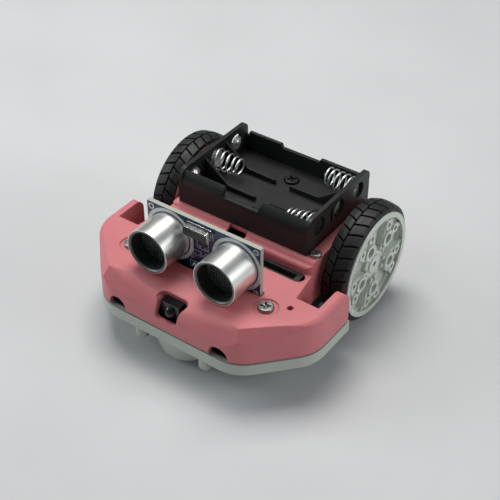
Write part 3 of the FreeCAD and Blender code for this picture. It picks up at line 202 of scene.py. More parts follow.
def plastic(name, color, rough=0.45, grain=2600.0, grain_d=0.000012, vary=0.05, edge_r=0.00025,
            edge_col=None, edge_amt=0.35, coat=0.0, sss=0.0, spec=0.5, dust=0.0, wave=0.00002, scuff=0.25):
    """Moulded plastic: spark-eroded grain, slow tone drift, lighter edges that are partly wear and partly painted
    highlight, faint scuffs in the gloss.
    """
    M = Mat(name)
    big = M.noise(55, 3, 0.55)
    mid = M.noise(420, 3, 0.6)
    speck = M.noise(3600, 2, 0.6)
    c = M.mix(M.rng(big, 0.3, 0.7), scl(color, 1 - vary), scl(color, 1 + vary))
    c = M.mix(M.rng(mid, 0.35, 0.75, 0.0, 0.35), c, scl(color, 1 + vary * 0.9))
    c = M.mix(M.rng(speck, 0.55, 0.85, 0.0, 0.22), c, scl(color, 1 - vary * 1.6))
    # edges lightened towards edge_col: partly wear, partly painted highlight
    e = M.edge(edge_r)
    edge_wear_and_highlight = M.op("MULTIPLY", e, M.rng(M.noise(900, 4, 0.65), 0.35, 0.65, 0.35, 1.0))
    c = M.mix(M.op("MULTIPLY", edge_wear_and_highlight, edge_amt), c, edge_col or scl(color, 1.25))
    if dust:
        g = M.n("ShaderNodeNewGeometry")
        sp = M.n("ShaderNodeSeparateXYZ")
        M.t.links.new(g.outputs["Normal"], sp.inputs[0])
        d = M.op("MULTIPLY", M.rng(sp.outputs[2], 0.3, 1.0), M.rng(M.noise(5200, 3, 0.7), 0.60, 0.72))
        c = M.mix(M.op("MULTIPLY", d, dust), c, (0.55, 0.53, 0.50))
    scr = M.noise(1.0, 3, 0.6, vec=M.mapped(scale=(160, 2600, 700), rot=(0.3, 0.2, 0.9)))
    r = M.add(rough, M.rng(big, 0.3, 0.7, -0.04, 0.04), M.rng(mid, 0.3, 0.75, -0.03, 0.05),
              M.rng(scr, 0.62, 0.75, 0.0, -0.12 * scuff), M.op("MULTIPLY", e, -0.05))
    M.set(Base_Color=c, Roughness=r)
    h = M.add(M.op("MULTIPLY", M.noise(grain, 3, 0.55), 1.0), M.op("MULTIPLY", M.voronoi(grain * 0.8), 0.35))
    nrm = M.bump(h, grain_d, 1.0, M.bump(M.noise(120, 1, 0.4), wave, 1.0, M.round_(edge_r)))
    M.set(Normal=nrm)
    M.b.inputs["Specular IOR Level"].default_value = spec
    if coat:
        M.b.inputs["Coat Weight"].default_value = coat
        M.b.inputs["Coat Roughness"].default_value = 0.12
    if sss:
        M.b.inputs["Subsurface Weight"].default_value = sss
        M.b.inputs["Subsurface Radius"].default_value = (0.0012, 0.0006, 0.0005)
        M.b.inputs["Subsurface Scale"].default_value = 1.0
    return M


def metal(name, color, rough=0.25, brush=(1, 1, 1), brush_d=0.000006, vary=0.08, edge_r=0.0001, dark=(0.12, 0.115, 0.11), grime=0.25):
    """Metal: fine drawn lines across the given stretch, patchy gloss, patchy grime, bright edges that are partly wear
    and partly painted highlight.
    """
    M = Mat(name)
    big = M.noise(160, 3, 0.6)
    fine = M.noise(1.0, 4, 0.65, vec=M.mapped(scale=brush))
    c = M.mix(M.rng(big, 0.3, 0.7), scl(color, 1 - vary), scl(color, 1 + vary))
    c = M.mix(M.rng(fine, 0.4, 0.7, 0.0, 0.25), c, scl(color, 0.8))
    c = M.mix(M.rng(M.noise(2400, 3, 0.7), 0.62, 0.8, 0.0, grime), c, dark)
    # bright edges: partly wear, partly painted highlight
    e = M.edge(edge_r)
    c = M.mix(M.op("MULTIPLY", e, 0.4), c, scl(color, 1.18))
    r = M.add(rough, M.rng(big, 0.3, 0.7, -0.05, 0.07), M.rng(fine, 0.3, 0.7, -0.03, 0.05))
    M.set(Base_Color=c, Roughness=r)
    M.b.inputs["Metallic"].default_value = 1.0
    M.set(Normal=M.bump(fine, brush_d, 1.0, M.round_(edge_r)))
    return M


# ---------------------------------------------------------------- materials
PINK = (0.72, 0.205, 0.225)
mats = {}


def shell_material():
    """Satin pink moulding: fine grain, faint flow lines across the dished nose, paler edges that are partly knocks and
    partly painted highlight.
    """
    M = Mat("shell_pink")
    big = M.noise(38, 3, 0.55)
    mid = M.noise(300, 3, 0.6)
    c = M.mix(M.rng(big, 0.3, 0.7), (0.615, 0.180, 0.193), (0.655, 0.198, 0.213))
    c = M.mix(M.rng(mid, 0.35, 0.75, 0.0, 0.3), c, (0.680, 0.214, 0.228))
    c = M.mix(M.rng(M.noise(4200, 2, 0.6), 0.58, 0.85, 0.0, 0.30), c, (0.54, 0.148, 0.160))
    # paler edges: partly knocks, partly painted highlight
    e = M.edge(0.00035)
    edge_wear_and_highlight = M.op("MULTIPLY", e, M.rng(M.noise(700, 4, 0.65), 0.35, 0.65, 0.25, 1.0))
    c = M.mix(M.op("MULTIPLY", edge_wear_and_highlight, 0.42), c, (0.82, 0.42, 0.43))
    # dust settled on the upward faces
    g = M.n("ShaderNodeNewGeometry")
    sp = M.n("ShaderNodeSeparateXYZ")
    M.t.links.new(g.outputs["Normal"], sp.inputs[0])
    d = M.op("MULTIPLY", M.rng(sp.outputs[2], 0.5, 1.0), M.rng(M.noise(6500, 2, 0.7), 0.66, 0.74))
    c = M.mix(M.op("MULTIPLY", d, 0.22), c, (0.80, 0.62, 0.60))
    scr = M.noise(1.0, 3, 0.6, vec=M.mapped(scale=(140, 2200, 600), rot=(0.2, 0.1, 0.7)))
    r = M.add(0.44, M.rng(big, 0.3, 0.7, -0.03, 0.04), M.rng(mid, 0.3, 0.75, -0.02, 0.04), M.rng(scr, 0.62, 0.76, 0.0, -0.05),
              M.op("MULTIPLY", e, -0.06))
    M.set(Base_Color=c, Roughness=r)
    x, y, z = M.xyz()[0], M.xyz()[1], M.xyz()[2]
    # mould flow lines: faint creases that follow the nose
    rad = M.op("SQRT", M.add(M.op("POWER", x, 2.0), M.op("POWER", M.op("SUBTRACT", y, 0.052), 2.0)))
    lines = M.op("SINE", M.op("MULTIPLY", M.op("ADD", rad, M.op("MULTIPLY", M.noise(28, 1, 0.4), 0.004)), 2.0 * math.pi / 0.0011))
    where = M.op("MULTIPLY", M.op("MULTIPLY", M.rng(rad, 0.083, 0.086), M.rng(z, 0.0235, 0.0265)), M.rng(sp.outputs[2], 0.86, 0.95))
    grain = M.add(M.noise(2300, 3, 0.55), M.op("MULTIPLY", M.voronoi(1700), 0.4))
    n1 = M.bump(M.op("MULTIPLY", lines, where), 0.000018, 1.0, M.bump(M.noise(90, 1, 0.4), 0.00003, 1.0, M.round_(0.0007)))
    M.set(Normal=M.bump(grain, 0.000022, 1.0, n1))
    M.b.inputs["Subsurface Weight"].default_value = 0.12
    M.b.inputs["Subsurface Radius"].default_value = (0.0016, 0.0006, 0.0005)
    M.b.inputs["Subsurface Scale"].default_value = 1.0
    M.b.inputs["Specular IOR Level"].default_value = 0.38
    M.b.inputs["Sheen Weight"].default_value = 0.03
    M.b.inputs["Sheen Roughness"].default_value = 0.5
    return M.m


def tyre_material():
    """Black rubber: satin, mould texture, patches of chalky dust, paler lug edges that are partly wear and partly
    painted highlight.
    """
    M = Mat("tyre_rubber")
    big = M.noise(70, 3, 0.55)
    fine = M.noise(2600, 3, 0.6)
    c = M.mix(M.rng(big, 0.3, 0.7), (0.0080, 0.0085, 0.0088), (0.0130, 0.0137, 0.0138))
    c = M.mix(M.rng(fine, 0.45, 0.8, 0.0, 0.5), c, (0.021, 0.022, 0.022))
    # paler lug edges: partly wear, partly painted highlight
    e = M.edge(0.0003)
    edge_wear_and_highlight = M.op("MULTIPLY", e, M.rng(M.noise(800, 4, 0.65), 0.35, 0.65, 0.3, 1.0))
    c = M.mix(M.op("MULTIPLY", edge_wear_and_highlight, 0.40), c, (0.048, 0.049, 0.048))
    d = M.rng(M.noise(5200, 3, 0.7), 0.64, 0.74, 0.0, 0.20)
    c = M.mix(d, c, (0.13, 0.125, 0.12))
    r = M.add(0.47, M.rng(big, 0.3, 0.7, -0.05, 0.06), M.rng(fine, 0.3, 0.7, -0.05, 0.08), M.op("MULTIPLY", e, 0.06))
    M.set(Base_Color=c, Roughness=r)
    h = M.add(fine, M.op("MULTIPLY", M.voronoi(2100), 0.5))
    M.set(Normal=M.bump(h, 0.00002, 1.0, M.bump(M.noise(260, 2, 0.5), 0.00004, 1.0, M.round_(0.0003))))
    M.b.inputs["Specular IOR Level"].default_value = 0.36
    M.b.inputs["Sheen Weight"].default_value = 0.03
    M.b.inputs["Sheen Roughness"].default_value = 0.4
    return M.m


def board_material(name, base, trace, pads, silk_rings=(), silk_boxes=(), face_y=None, plane="XZ", edge_col=(0.46, 0.47, 0.40), dots=True, vias=(), silk=(0.72, 0.745, 0.72)):
    """Lacquered circuit board: copper tracks a shade lighter under the lacquer, bare pads, printed outlines, pale cut edges."""
    M = Mat(name)
    sx, sy, sz = M.xyz()
    u, v = (sx, sz) if plane == "XZ" else (sx, sy)
    vec = M.obj()
    # routed tracks: straight runs on a coarse grid, bent by a second stepped pattern
    comb = M.n("ShaderNodeCombineXYZ")
    M.put(comb.inputs[0], u)
    M.put(comb.inputs[1], v)
    flat = comb.outputs[0]
    cells = M.voronoi(210, "F1", "Color", vec=flat, rnd=0.75)
    csep = M.n("ShaderNodeSeparateColor")
    M.put(csep.inputs[0], cells)
    across = M.op("GREATER_THAN", csep.outputs[0], 0.5)
    run_u = M.op("PINGPONG", M.op("MULTIPLY", u, 1000.0), 0.55)
    run_v = M.op("PINGPONG", M.op("MULTIPLY", v, 1000.0), 0.55)
    pick = M.n("ShaderNodeMix", data_type="FLOAT")
    M.put(pick.inputs[0], across)
    M.put(pick.inputs[2], run_u)
    M.put(pick.inputs[3], run_v)
    track = M.op("MULTIPLY", M.rng(pick.outputs[0], 0.20, 0.26, 1.0, 0.0), M.op("GREATER_THAN", csep.outputs[1], 0.42))
    c = M.mix(M.rng(M.noise(120, 2, 0.5), 0.3, 0.7), scl(base, 0.9), scl(base, 1.12))
    c = M.mix(M.op("MULTIPLY", track, 0.6), c, trace)
    ground = M.rng(M.voronoi(125, "DISTANCE_TO_EDGE", "Distance", vec=flat, rnd=0.8), 0.02, 0.035)
    c = M.mix(M.op("MULTIPLY", M.op("SUBTRACT", 1.0, ground), 0.55), c, scl(base, 0.55))
    height = M.op("MULTIPLY", track, 0.6)
    metal_m = None
    rough = M.add(0.30, M.rng(M.noise(500, 3, 0.6), 0.3, 0.7, -0.05, 0.08), M.op("MULTIPLY", track, -0.05))

    def dist_to(px, pz):
        a = M.op("SUBTRACT", u, px * MM)
        b = M.op("SUBTRACT", v, pz * MM)
        return M.op("SQRT", M.add(M.op("MULTIPLY", a, a), M.op("MULTIPLY", b, b)))

    silk_m = None
    for (px, pz, r, w) in silk_rings:
        d = M.op("ABSOLUTE", M.op("SUBTRACT", dist_to(px, pz), r * MM))
        k = M.rng(d, w * MM * 0.75, w * MM, 1.0, 0.0)
        silk_m = k if silk_m is None else M.op("MAXIMUM", silk_m, k)
    for (x0, x1, z0, z1, w) in silk_boxes:
        a = M.op("SUBTRACT", M.op("ABSOLUTE", M.op("SUBTRACT", u, (x0 + x1) / 2 * MM)), (x1 - x0) / 2 * MM)
        b = M.op("SUBTRACT", M.op("ABSOLUTE", M.op("SUBTRACT", v, (z0 + z1) / 2 * MM)), (z1 - z0) / 2 * MM)
        d = M.op("ABSOLUTE", M.op("MAXIMUM", a, b))
        k = M.rng(d, w * MM * 0.75, w * MM, 1.0, 0.0)
        silk_m = k if silk_m is None else M.op("MAXIMUM", silk_m, k)
    if silk_m is not None:
        silk_m = M.op("MULTIPLY", silk_m, M.rng(M.noise(3000, 2, 0.6), 0.30, 0.42, 0.55, 1.0))
        c = M.mix(silk_m, c, silk)
        rough = M.op("ADD", rough, M.op("MULTIPLY", silk_m, 0.22))
    for (px, pz, r) in pads:
        k = M.rng(dist_to(px, pz), r * MM * 0.96, r * MM, 1.0, 0.0)
        metal_m = k if metal_m is None else M.op("MAXIMUM", metal_m, k)
    for (px, pz, r) in vias:
        k = M.rng(dist_to(px, pz), r * MM * 0.9, r * MM, 1.0, 0.0)
        metal_m = k if metal_m is None else M.op("MAXIMUM", metal_m, k)
    if metal_m is not None:
        c = M.mix(metal_m, c, (0.82, 0.82, 0.79))
        height = M.add(height, metal_m)
        M.set(Metallic=M.op("MULTIPLY", metal_m, 0.9))
    # cut edge of the glass fibre sheet
    g = M.n("ShaderNodeNewGeometry")
    sp = M.n("ShaderNodeSeparateXYZ")
    M.t.links.new(g.outputs["Normal"], sp.inputs[0])
    facing = M.op("ABSOLUTE", sp.outputs[1] if plane == "XZ" else sp.outputs[2])
    side = M.rng(facing, 0.45, 0.55, 1.0, 0.0)
    fib = M.noise(1.0, 3, 0.6, vec=M.mapped(scale=(900, 9000, 900) if plane == "XZ" else (900, 900, 9000)))
    c = M.mix(side, c, M.mix(M.rng(fib, 0.3, 0.7), scl(edge_col, 0.75), scl(edge_col, 1.15)))
    rough = M.op("ADD", rough, M.op("MULTIPLY", side, 0.3))
    M.set(Base_Color=c, Roughness=rough)
    M.set(Normal=M.bump(height, 0.00003, 1.0, M.bump(M.noise(900, 2, 0.5), 0.000006, 1.0, M.round_(0.0001))))
    M.b.inputs["Coat Weight"].default_value = 0.35
    M.b.inputs["Coat Roughness"].default_value = 0.1
    return M.m


def mesh_material():
    """The dark woven screen inside each can."""
    M = Mat("can_screen")
    c = M.mix(M.rng(M.noise(900, 3, 0.6), 0.3, 0.7), (0.10, 0.105, 0.105), (0.17, 0.175, 0.17))
    r = M.add(0.38, M.rng(M.noise(2000, 2, 0.6), 0.3, 0.7, -0.06, 0.08))
    M.set(Base_Color=c, Roughness=r)
    M.b.inputs["Metallic"].default_value = 0.8
    sx, sy, sz = M.xyz()
    w = M.op("MULTIPLY", M.op("SINE", M.op("MULTIPLY", sx, 2 * math.pi / 0.0003)), M.op("SINE", M.op("MULTIPLY", sz, 2 * math.pi / 0.0003)))
    M.set(Normal=M.bump(w, 0.00003, 0.8, M.round_(0.00008)))
    return M.m


def can_material():
    """Turned aluminium can: lathe rings round its axis, a satin rolled mouth darkened with painted shade, and painted
    shade darkening the inside.
    """
    M = Mat("can_aluminium")
    sx, sy, sz = M.xyz()
    ring = M.noise(1.0, 3, 0.55, vec=M.mapped(scale=(8, 7000, 8)))
    big = M.noise(70, 2, 0.5)
    c = M.mix(M.rng(big, 0.3, 0.7), (0.90, 0.91, 0.86), (0.95, 0.955, 0.91))
    c = M.mix(M.rng(ring, 0.45, 0.7, 0.0, 0.14), c, (0.60, 0.60, 0.59))
    c = M.mix(M.rng(M.noise(2600, 3, 0.7), 0.70, 0.8, 0.0, 0.3), c, (0.25, 0.24, 0.23))
    # slightly brighter edges: partly wear, partly painted highlight
    e = M.edge(0.0001)
    c = M.mix(M.op("MULTIPLY", e, 0.35), c, (0.93, 0.93, 0.92))
    # distance from the can's own axis, the same for both cans
    ax = M.op("SUBTRACT", M.op("ABSOLUTE", sx), 13.37 * MM)
    az_ = M.op("SUBTRACT", sz, 37.0 * MM)
    rad = M.op("SQRT", M.add(M.op("MULTIPLY", ax, ax), M.op("MULTIPLY", az_, az_)))
    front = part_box("transducer_can_right")[0].y
    # painted shade: the mouth's lip is darkened to dim grey (with a rougher satin gloss) and the inside of the can to
    # near-black
    lip = M.op("MULTIPLY", M.rng(sy, front + 0.0006, front + 0.0010, 1.0, 0.0), M.rng(rad, 0.00778, 0.00786, 1.0, 0.0))
    inside = M.op("MULTIPLY", M.rng(rad, 0.00692, 0.00700, 1.0, 0.0), M.rng(sy, front + 0.0002, front + 0.0006))
    c = M.mix(lip, c, M.mix(M.rng(M.noise(1500, 3, 0.6), 0.3, 0.7), (0.155, 0.16, 0.155), (0.215, 0.22, 0.215)))
    c = M.mix(inside, c, (0.045, 0.050, 0.046))
    r = M.add(0.32, M.rng(big, 0.3, 0.7, -0.02, 0.03), M.rng(ring, 0.3, 0.7, -0.03, 0.05), M.op("MULTIPLY", lip, 0.10), M.op("MULTIPLY", inside, 0.16))
    M.set(Base_Color=c, Roughness=r, Metallic=M.op("SUBTRACT", 1.0, M.add(M.op("MULTIPLY", lip, 0.65), M.op("MULTIPLY", inside, 0.6))))
    M.set(Normal=M.bump(ring, 0.0000018, 1.0, M.round_(0.00015)))
    return M.m


def crystal_material():
    """Drawn nickel can: a rougher front panel darkened as painted shade, between rolled edges brightened partly by wear
    and partly as painted highlight.
    """
    M = Mat("crystal_case")
    big = M.noise(420, 2, 0.5)
    fine = M.noise(1.0, 2, 0.5, vec=M.mapped(scale=(60, 900, 900)))
    g = M.n("ShaderNodeNewGeometry")
    sp = M.n("ShaderNodeSeparateXYZ")
    M.t.links.new(g.outputs["Normal"], sp.inputs[0])
    # painted shade: faces turned to the front are darkened to near-black
    front = M.rng(sp.outputs[1], -0.97, -0.85, 1.0, 0.0)
    c = M.mix(M.rng(big, 0.3, 0.7), (0.76, 0.76, 0.74), (0.84, 0.84, 0.82))
    c = M.mix(M.rng(fine, 0.4, 0.7, 0.0, 0.2), c, (0.55, 0.55, 0.54))
    c = M.mix(M.op("MULTIPLY", front, 0.94), c, M.mix(M.rng(fine, 0.35, 0.7), (0.030, 0.033, 0.030), (0.060, 0.063, 0.060)))
    # brightened edges: partly wear, partly painted highlight
    e = M.edge(0.00022)
    c = M.mix(M.op("MULTIPLY", e, 0.6), c, (0.90, 0.90, 0.89))
    M.set(Base_Color=c, Roughness=M.add(0.20, M.rng(big, 0.3, 0.7, -0.03, 0.05), M.op("MULTIPLY", front, 0.14)))
    M.b.inputs["Metallic"].default_value = 1.0
    M.set(Normal=M.bump(M.noise(300, 1, 0.4), 0.000004, 1.0, M.round_(0.00022)))
    return M.m


def plate_material():
    """Tinned contact strip: bright, slightly crumpled sheet with handling marks."""
    M = Mat("contact_plate")
    big = M.noise(330, 3, 0.6)
    fine = M.noise(1.0, 3, 0.6, vec=M.mapped(scale=(900, 5200, 900)))
    c = M.mix(M.rng(big, 0.3, 0.7), (0.66, 0.665, 0.65), (0.86, 0.86, 0.84))
    c = M.mix(M.rng(fine, 0.42, 0.7, 0.0, 0.22), c, (0.44, 0.44, 0.42))
    c = M.mix(M.rng(M.noise(2600, 3, 0.7), 0.66, 0.8, 0.0, 0.3), c, (0.20, 0.19, 0.18))
    M.set(Base_Color=c, Roughness=M.add(0.34, M.rng(big, 0.3, 0.7, -0.08, 0.10)))
    M.b.inputs["Metallic"].default_value = 0.8
    M.set(Normal=M.bump(M.voronoi(700), 0.00035, 1.0, M.bump(big, 0.00006, 1.0, M.round_(0.0001))))
    return M.m


def base_material():
    """Light grey moulded base, with the inside of the tray, the wheel well and the strip above the rim darkened to
    near-black as painted shade.
    """
    M = plastic("base_grey_white", (0.485, 0.530, 0.470), rough=0.42, grain=2300, grain_d=0.00002, vary=0.04, edge_r=0.0003,
                edge_col=(0.62, 0.65, 0.61), edge_amt=0.35, sss=0.06, dust=0.12)
    sx, sy, sz = M.xyz()
    g = M.n("ShaderNodeNewGeometry")
    sp = M.n("ShaderNodeSeparateXYZ")
    M.t.links.new(g.outputs["Normal"], sp.inputs[0])
    # painted shade: inward-facing walls, the tray floor, the wheel well and everything above the rim top go near-black
    into = M.add(M.op("MULTIPLY", sp.outputs[0], sx), M.op("MULTIPLY", sp.outputs[1], M.op("ADD", sy, 0.005)))
    wall = M.op("MULTIPLY", M.rng(into, -0.004, -0.001, 1.0, 0.0), M.rng(sz, 0.01600, 0.01612, 1.0, 0.0))
    floor_ = M.op("MULTIPLY", M.rng(sp.outputs[2], 0.5, 0.7), M.op("MULTIPLY", M.rng(sz, 0.0120, 0.0122), M.rng(sz, 0.0140, 0.0142, 1.0, 0.0)))
    ax = M.op("ABSOLUTE", sx)
    well = M.op("MULTIPLY", M.op("MULTIPLY", M.rng(ax, 0.0296, 0.0298), M.rng(ax, 0.0410, 0.0412, 1.0, 0.0)),
                M.op("MULTIPLY", M.rng(sy, -0.0168, -0.0166), M.rng(sp.outputs[2], -0.3, -0.1)))
    inner = M.op("MAXIMUM", M.op("MAXIMUM", wall, floor_), M.op("MAXIMUM", well, M.rng(sz, 0.01545, 0.01555)))
    link = M.b.inputs["Base Color"].links[0]
    old = link.from_socket
    M.t.links.remove(link)
    M.set(Base_Color=M.mix(inner, old, M.mix(M.rng(M.noise(900, 3, 0.6), 0.3, 0.7), (0.016, 0.017, 0.016), (0.026, 0.027, 0.026))))
    return M.m


mats["shell"] = shell_material()
mats["tyre"] = tyre_material()
mats["hub"] = plastic("hub_offwhite", (0.615, 0.665, 0.590), rough=0.24, grain=1500, grain_d=0.000004, vary=0.035, edge_r=0.00055,
                      edge_col=(0.84, 0.87, 0.83), edge_amt=0.3, coat=0.35, sss=0.10, wave=0.00006).m
mats["base"] = base_material()
mats["holder"] = plastic("holder_black", (0.0165, 0.0180, 0.0168), spec=0.3, rough=0.38, grain=2600, grain_d=0.000018, vary=0.22, edge_r=0.00025,
                         edge_col=(0.075, 0.08, 0.08), edge_amt=0.5, dust=0.10, scuff=1.0).m
mats["black"] = plastic("connector_black", (0.014, 0.0145, 0.015), rough=0.42, grain=3000, grain_d=0.000012, vary=0.2, edge_r=0.00012,
                        edge_col=(0.06, 0.06, 0.06), edge_amt=0.5, dust=0.08).m
mats["connector"] = plastic("edge_connector_black", (0.026, 0.028, 0.027), rough=0.40, grain=3000, grain_d=0.000012, vary=0.15, edge_r=0.00025,
                            edge_col=(0.10, 0.105, 0.10), edge_amt=0.6, dust=0.08).m
mats["chip"] = plastic("moulded_epoxy", (0.018, 0.0185, 0.019), rough=0.55, grain=4200, grain_d=0.00001, vary=0.2, edge_r=0.0001,
                       edge_col=(0.07, 0.07, 0.07), edge_amt=0.4).m
mats["nylon"] = plastic("moulded_nylon", (0.62, 0.60, 0.53), rough=0.4, grain=2400, grain_d=0.00001, vary=0.05, edge_r=0.0002, sss=0.1).m
mats["steel"] = metal("nickel_steel", (0.29, 0.295, 0.28), rough=0.30, brush=(700, 700, 700), brush_d=0.000003, vary=0.1, grime=0.35).m
mats["case_steel"] = metal("case_steel", (0.58, 0.57, 0.55), rough=0.3, brush=(300, 5000, 5000)).m
mats["spring"] = metal("spring_wire", (0.95, 0.95, 0.93), rough=0.30, brush=(500, 500, 500), grime=0.12, edge_r=0.00005).m
mats["plate"] = plate_material()
mats["gear"] = metal("gear_steel", (0.52, 0.51, 0.48), rough=0.32, brush=(700, 4000, 4000)).m
mats["brass"] = metal("brass", (0.70, 0.50, 0.22), rough=0.27, brush=(500, 4200, 4200), dark=(0.15, 0.10, 0.05)).m
mats["gold"] = metal("gold_plate", (0.86, 0.62, 0.26), rough=0.25, brush=(700, 700, 4000), dark=(0.2, 0.13, 0.05)).m
mats["can"] = can_material()
mats["screen"] = mesh_material()
mats["crystal"] = crystal_material()
mats["black_steel"] = metal("blackened_steel", (0.035, 0.036, 0.036), rough=0.45, brush=(900, 900, 900), brush_d=0.000004, vary=0.15, grime=0.2).m
mats["ball"] = metal("ball_steel", (0.66, 0.66, 0.65), rough=0.12, brush=(500, 500, 500), brush_d=0.000002, vary=0.04, grime=0.1).m

rw, rh = 45.0, 20.0
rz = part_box("range_board")[0].z * 1000
hole_pads = [(sx * (rw / 2 - 1.7), z, 1.12) for sx in (-1, 1) for z in (rz + 1.8, rz + rh - 1.8)]
mats["range"] = board_material(
    "ranging_board_blue", (0.0075, 0.036, 0.108), (0.020, 0.072, 0.20), hole_pads,
    silk_rings=[(-13.37, 37.0, 9.0, 0.72), (13.37, 37.0, 9.0, 0.72)],
    silk_boxes=[(-5.3, 5.3, 27.4, 30.2, 0.12), (-3.9, -0.6, 33.4, 35.2, 0.10), (0.9, 3.9, 33.4, 35.2, 0.10), (-2.2, 2.2, 36.6, 39.6, 0.10)],
    vias=[(-4.6, 31.4, 0.32), (-3.1, 32.0, 0.32), (4.4, 31.7, 0.32), (2.2, 40.2, 0.32), (-2.6, 40.4, 0.32), (0.2, 31.9, 0.32), (-21.0, 33.0, 0.32), (21.0, 35.5, 0.32), (20.9, 41.0, 0.32), (-20.8, 41.4, 0.32)])
mats["main"] = board_material(
    "main_board_black", (0.010, 0.012, 0.012), (0.024, 0.03, 0.03), [], face_y=None, plane="XY", edge_col=(0.05, 0.05, 0.042),
    silk_boxes=[(-27, -19, -24, -19, 0.12), (19, 27, -24, -19, 0.12), (-9, 9, -15, -10, 0.12)])


def lamp_material():
    """Resin with slight transmission, its near-black colour painted shade for the LEDs inside the arch openings, with a
    slightly uneven skin.
    """
    M = Mat("lamp_resin")
    # painted shade: the LED resin is coloured near-black
    c = M.mix(M.rng(M.noise(500, 2, 0.5), 0.3, 0.7), (0.014, 0.014, 0.015), (0.026, 0.026, 0.027))
    M.set(Base_Color=c, Roughness=M.add(0.10, M.rng(M.noise(700, 3, 0.5), 0.3, 0.7, -0.02, 0.05)))
    M.b.inputs["Transmission Weight"].default_value = 0.15
    M.b.inputs["IOR"].default_value = 1.5
    M.set(Normal=M.bump(M.noise(260, 2, 0.5), 0.00001, 1.0))
    return M.m


def ir_material():
    """Dark infrared-pass resin: nearly black, glossy, with a moulded lens."""
    M = Mat("ir_resin")
    c = M.mix(M.rng(M.noise(400, 2, 0.5), 0.3, 0.7), (0.0040, 0.0038, 0.0042), (0.0080, 0.0072, 0.0080))
    M.set(Base_Color=c, Roughness=M.add(0.12, M.rng(M.noise(800, 3, 0.6), 0.3, 0.7, -0.03, 0.06)))
    M.b.inputs["Coat Weight"].default_value = 0.15
    M.b.inputs["Coat Roughness"].default_value = 0.08
    M.b.inputs["Specular IOR Level"].default_value = 0.35
    M.set(Normal=M.bump(M.noise(300, 2, 0.5), 0.00001, 1.0, M.round_(0.0002)))
    return M.m


mats["lamp"] = lamp_material()
mats["ir"] = ir_material()

ASSIGN = {
    "top_shell": "shell", "base_tray": "base", "battery_holder": "holder", "range_board": "range", "main_board": "main",
    "crystal_can": "crystal", "header_pins": "gold", "edge_contacts": "gold", "contact_springs": "spring", "contact_strips": "plate",
    "caster_ball": "ball", "caster_retainer": "nylon", "buzzer": "black", "board_chips": "chip", "range_chips": "chip",
    "line_sensors": "chip", "edge_connector": "connector", "range_socket": "black", "header_block": "black", "switch_lever": "black",
    "power_switch": "case_steel", "ir_receiver": "ir", "ir_leads": "steel", "led_leads": "steel",
    "deck_screws": "steel", "block_screw": "steel", "holder_screws": "black_steel", "bracket_screws": "steel",
}
for side in ("right", "left"):
    ASSIGN.update({
        "tyre_" + side: "tyre", "hub_" + side: "hub", "output_shaft_" + side: "steel", "gearbox_frame_" + side: "brass",
        "motor_can_" + side: "case_steel", "motor_cap_" + side: "nylon", "motor_bracket_" + side: "black", "pinion_" + side: "brass",
        "idler_gear_" + side: "gear", "front_led_" + side: "lamp", "transducer_can_" + side: "can",
        "transducer_mesh_" + side: "screen", "transducer_cone_" + side: "can"})
for name, o in nodes.items():
    mt = mats[ASSIGN[name]]
    if o.data.materials:
        for i in range(len(o.data.materials)):
            o.data.materials[i] = mt
        for s in o.material_slots:
            s.material = mt
    else:
        o.data.materials.append(mt)


# ---------------------------------------------------------------- small visible pieces
def piece(name, bm, mat, body, smooth=True):
    me = bpy.data.meshes.new(name)
    bmesh.ops.recalc_face_normals(bm, faces=bm.faces)
    bm.to_mesh(me)
    bm.free()
    if smooth:
        for p in me.polygons:
            p.use_smooth = True
    o = bpy.data.objects.new(name, me)
    bpy.context.scene.collection.objects.link(o)
    o.data.materials.append(mat)
    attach(o, body)
    return o


def lathe(bm, profile, axis_at, axis="y", seg=24, closed=True):
    """Turns (radius, along) points round an axis through axis_at. All in metres. Ends with radius 0 close on a point."""
    rings = []
    for r, a in profile:
        if r < 1e-9:
            p = {"y": Vector((0, a, 0)), "z": Vector((0, 0, a)), "x": Vector((a, 0, 0))}[axis]
            rings.append([bm.verts.new(axis_at + p)])
        else:
            ring = []
            for i in range(seg):
                t = 2 * math.pi * i / seg
                c, s = r * math.cos(t), r * math.sin(t)
                p = {"y": Vector((c, a, s)), "z": Vector((c, s, a)), "x": Vector((a, c, s))}[axis]
                ring.append(bm.verts.new(axis_at + p))
            rings.append(ring)
    for A, B in zip(rings, rings[1:]):
        if len(A) == 1 and len(B) == 1:
            continue
        for i in range(seg):
            j = (i + 1) % seg
            if len(A) == 1:
                bm.faces.new((A[0], B[i], B[j]))
            elif len(B) == 1:
                bm.faces.new((A[i], B[0], A[j]))
            else:
                bm.faces.new((A[i], B[i], B[j], A[j]))


def chip(bm, x0, x1, y0, y1, z0, z1, r=0.08):
    """A small closed block with all its edges bevelled (mm)."""
    b2 = bmesh.new()
    bmesh.ops.create_cube(b2, size=1.0)
    for v in b2.verts:
        v.co = Vector((x0 + (v.co.x + 0.5) * (x1 - x0), y0 + (v.co.y + 0.5) * (y1 - y0), z0 + (v.co.z + 0.5) * (z1 - z0)))
    bmesh.ops.bevel(b2, geom=list(b2.edges), offset=r, segments=2, affect="EDGES", profile=0.6)
    vm = {}
    for v in b2.verts:
        vm[v] = bm.verts.new(P3(*v.co))
    for f in b2.faces:
        bm.faces.new([vm[v] for v in f.verts])
    b2.free()


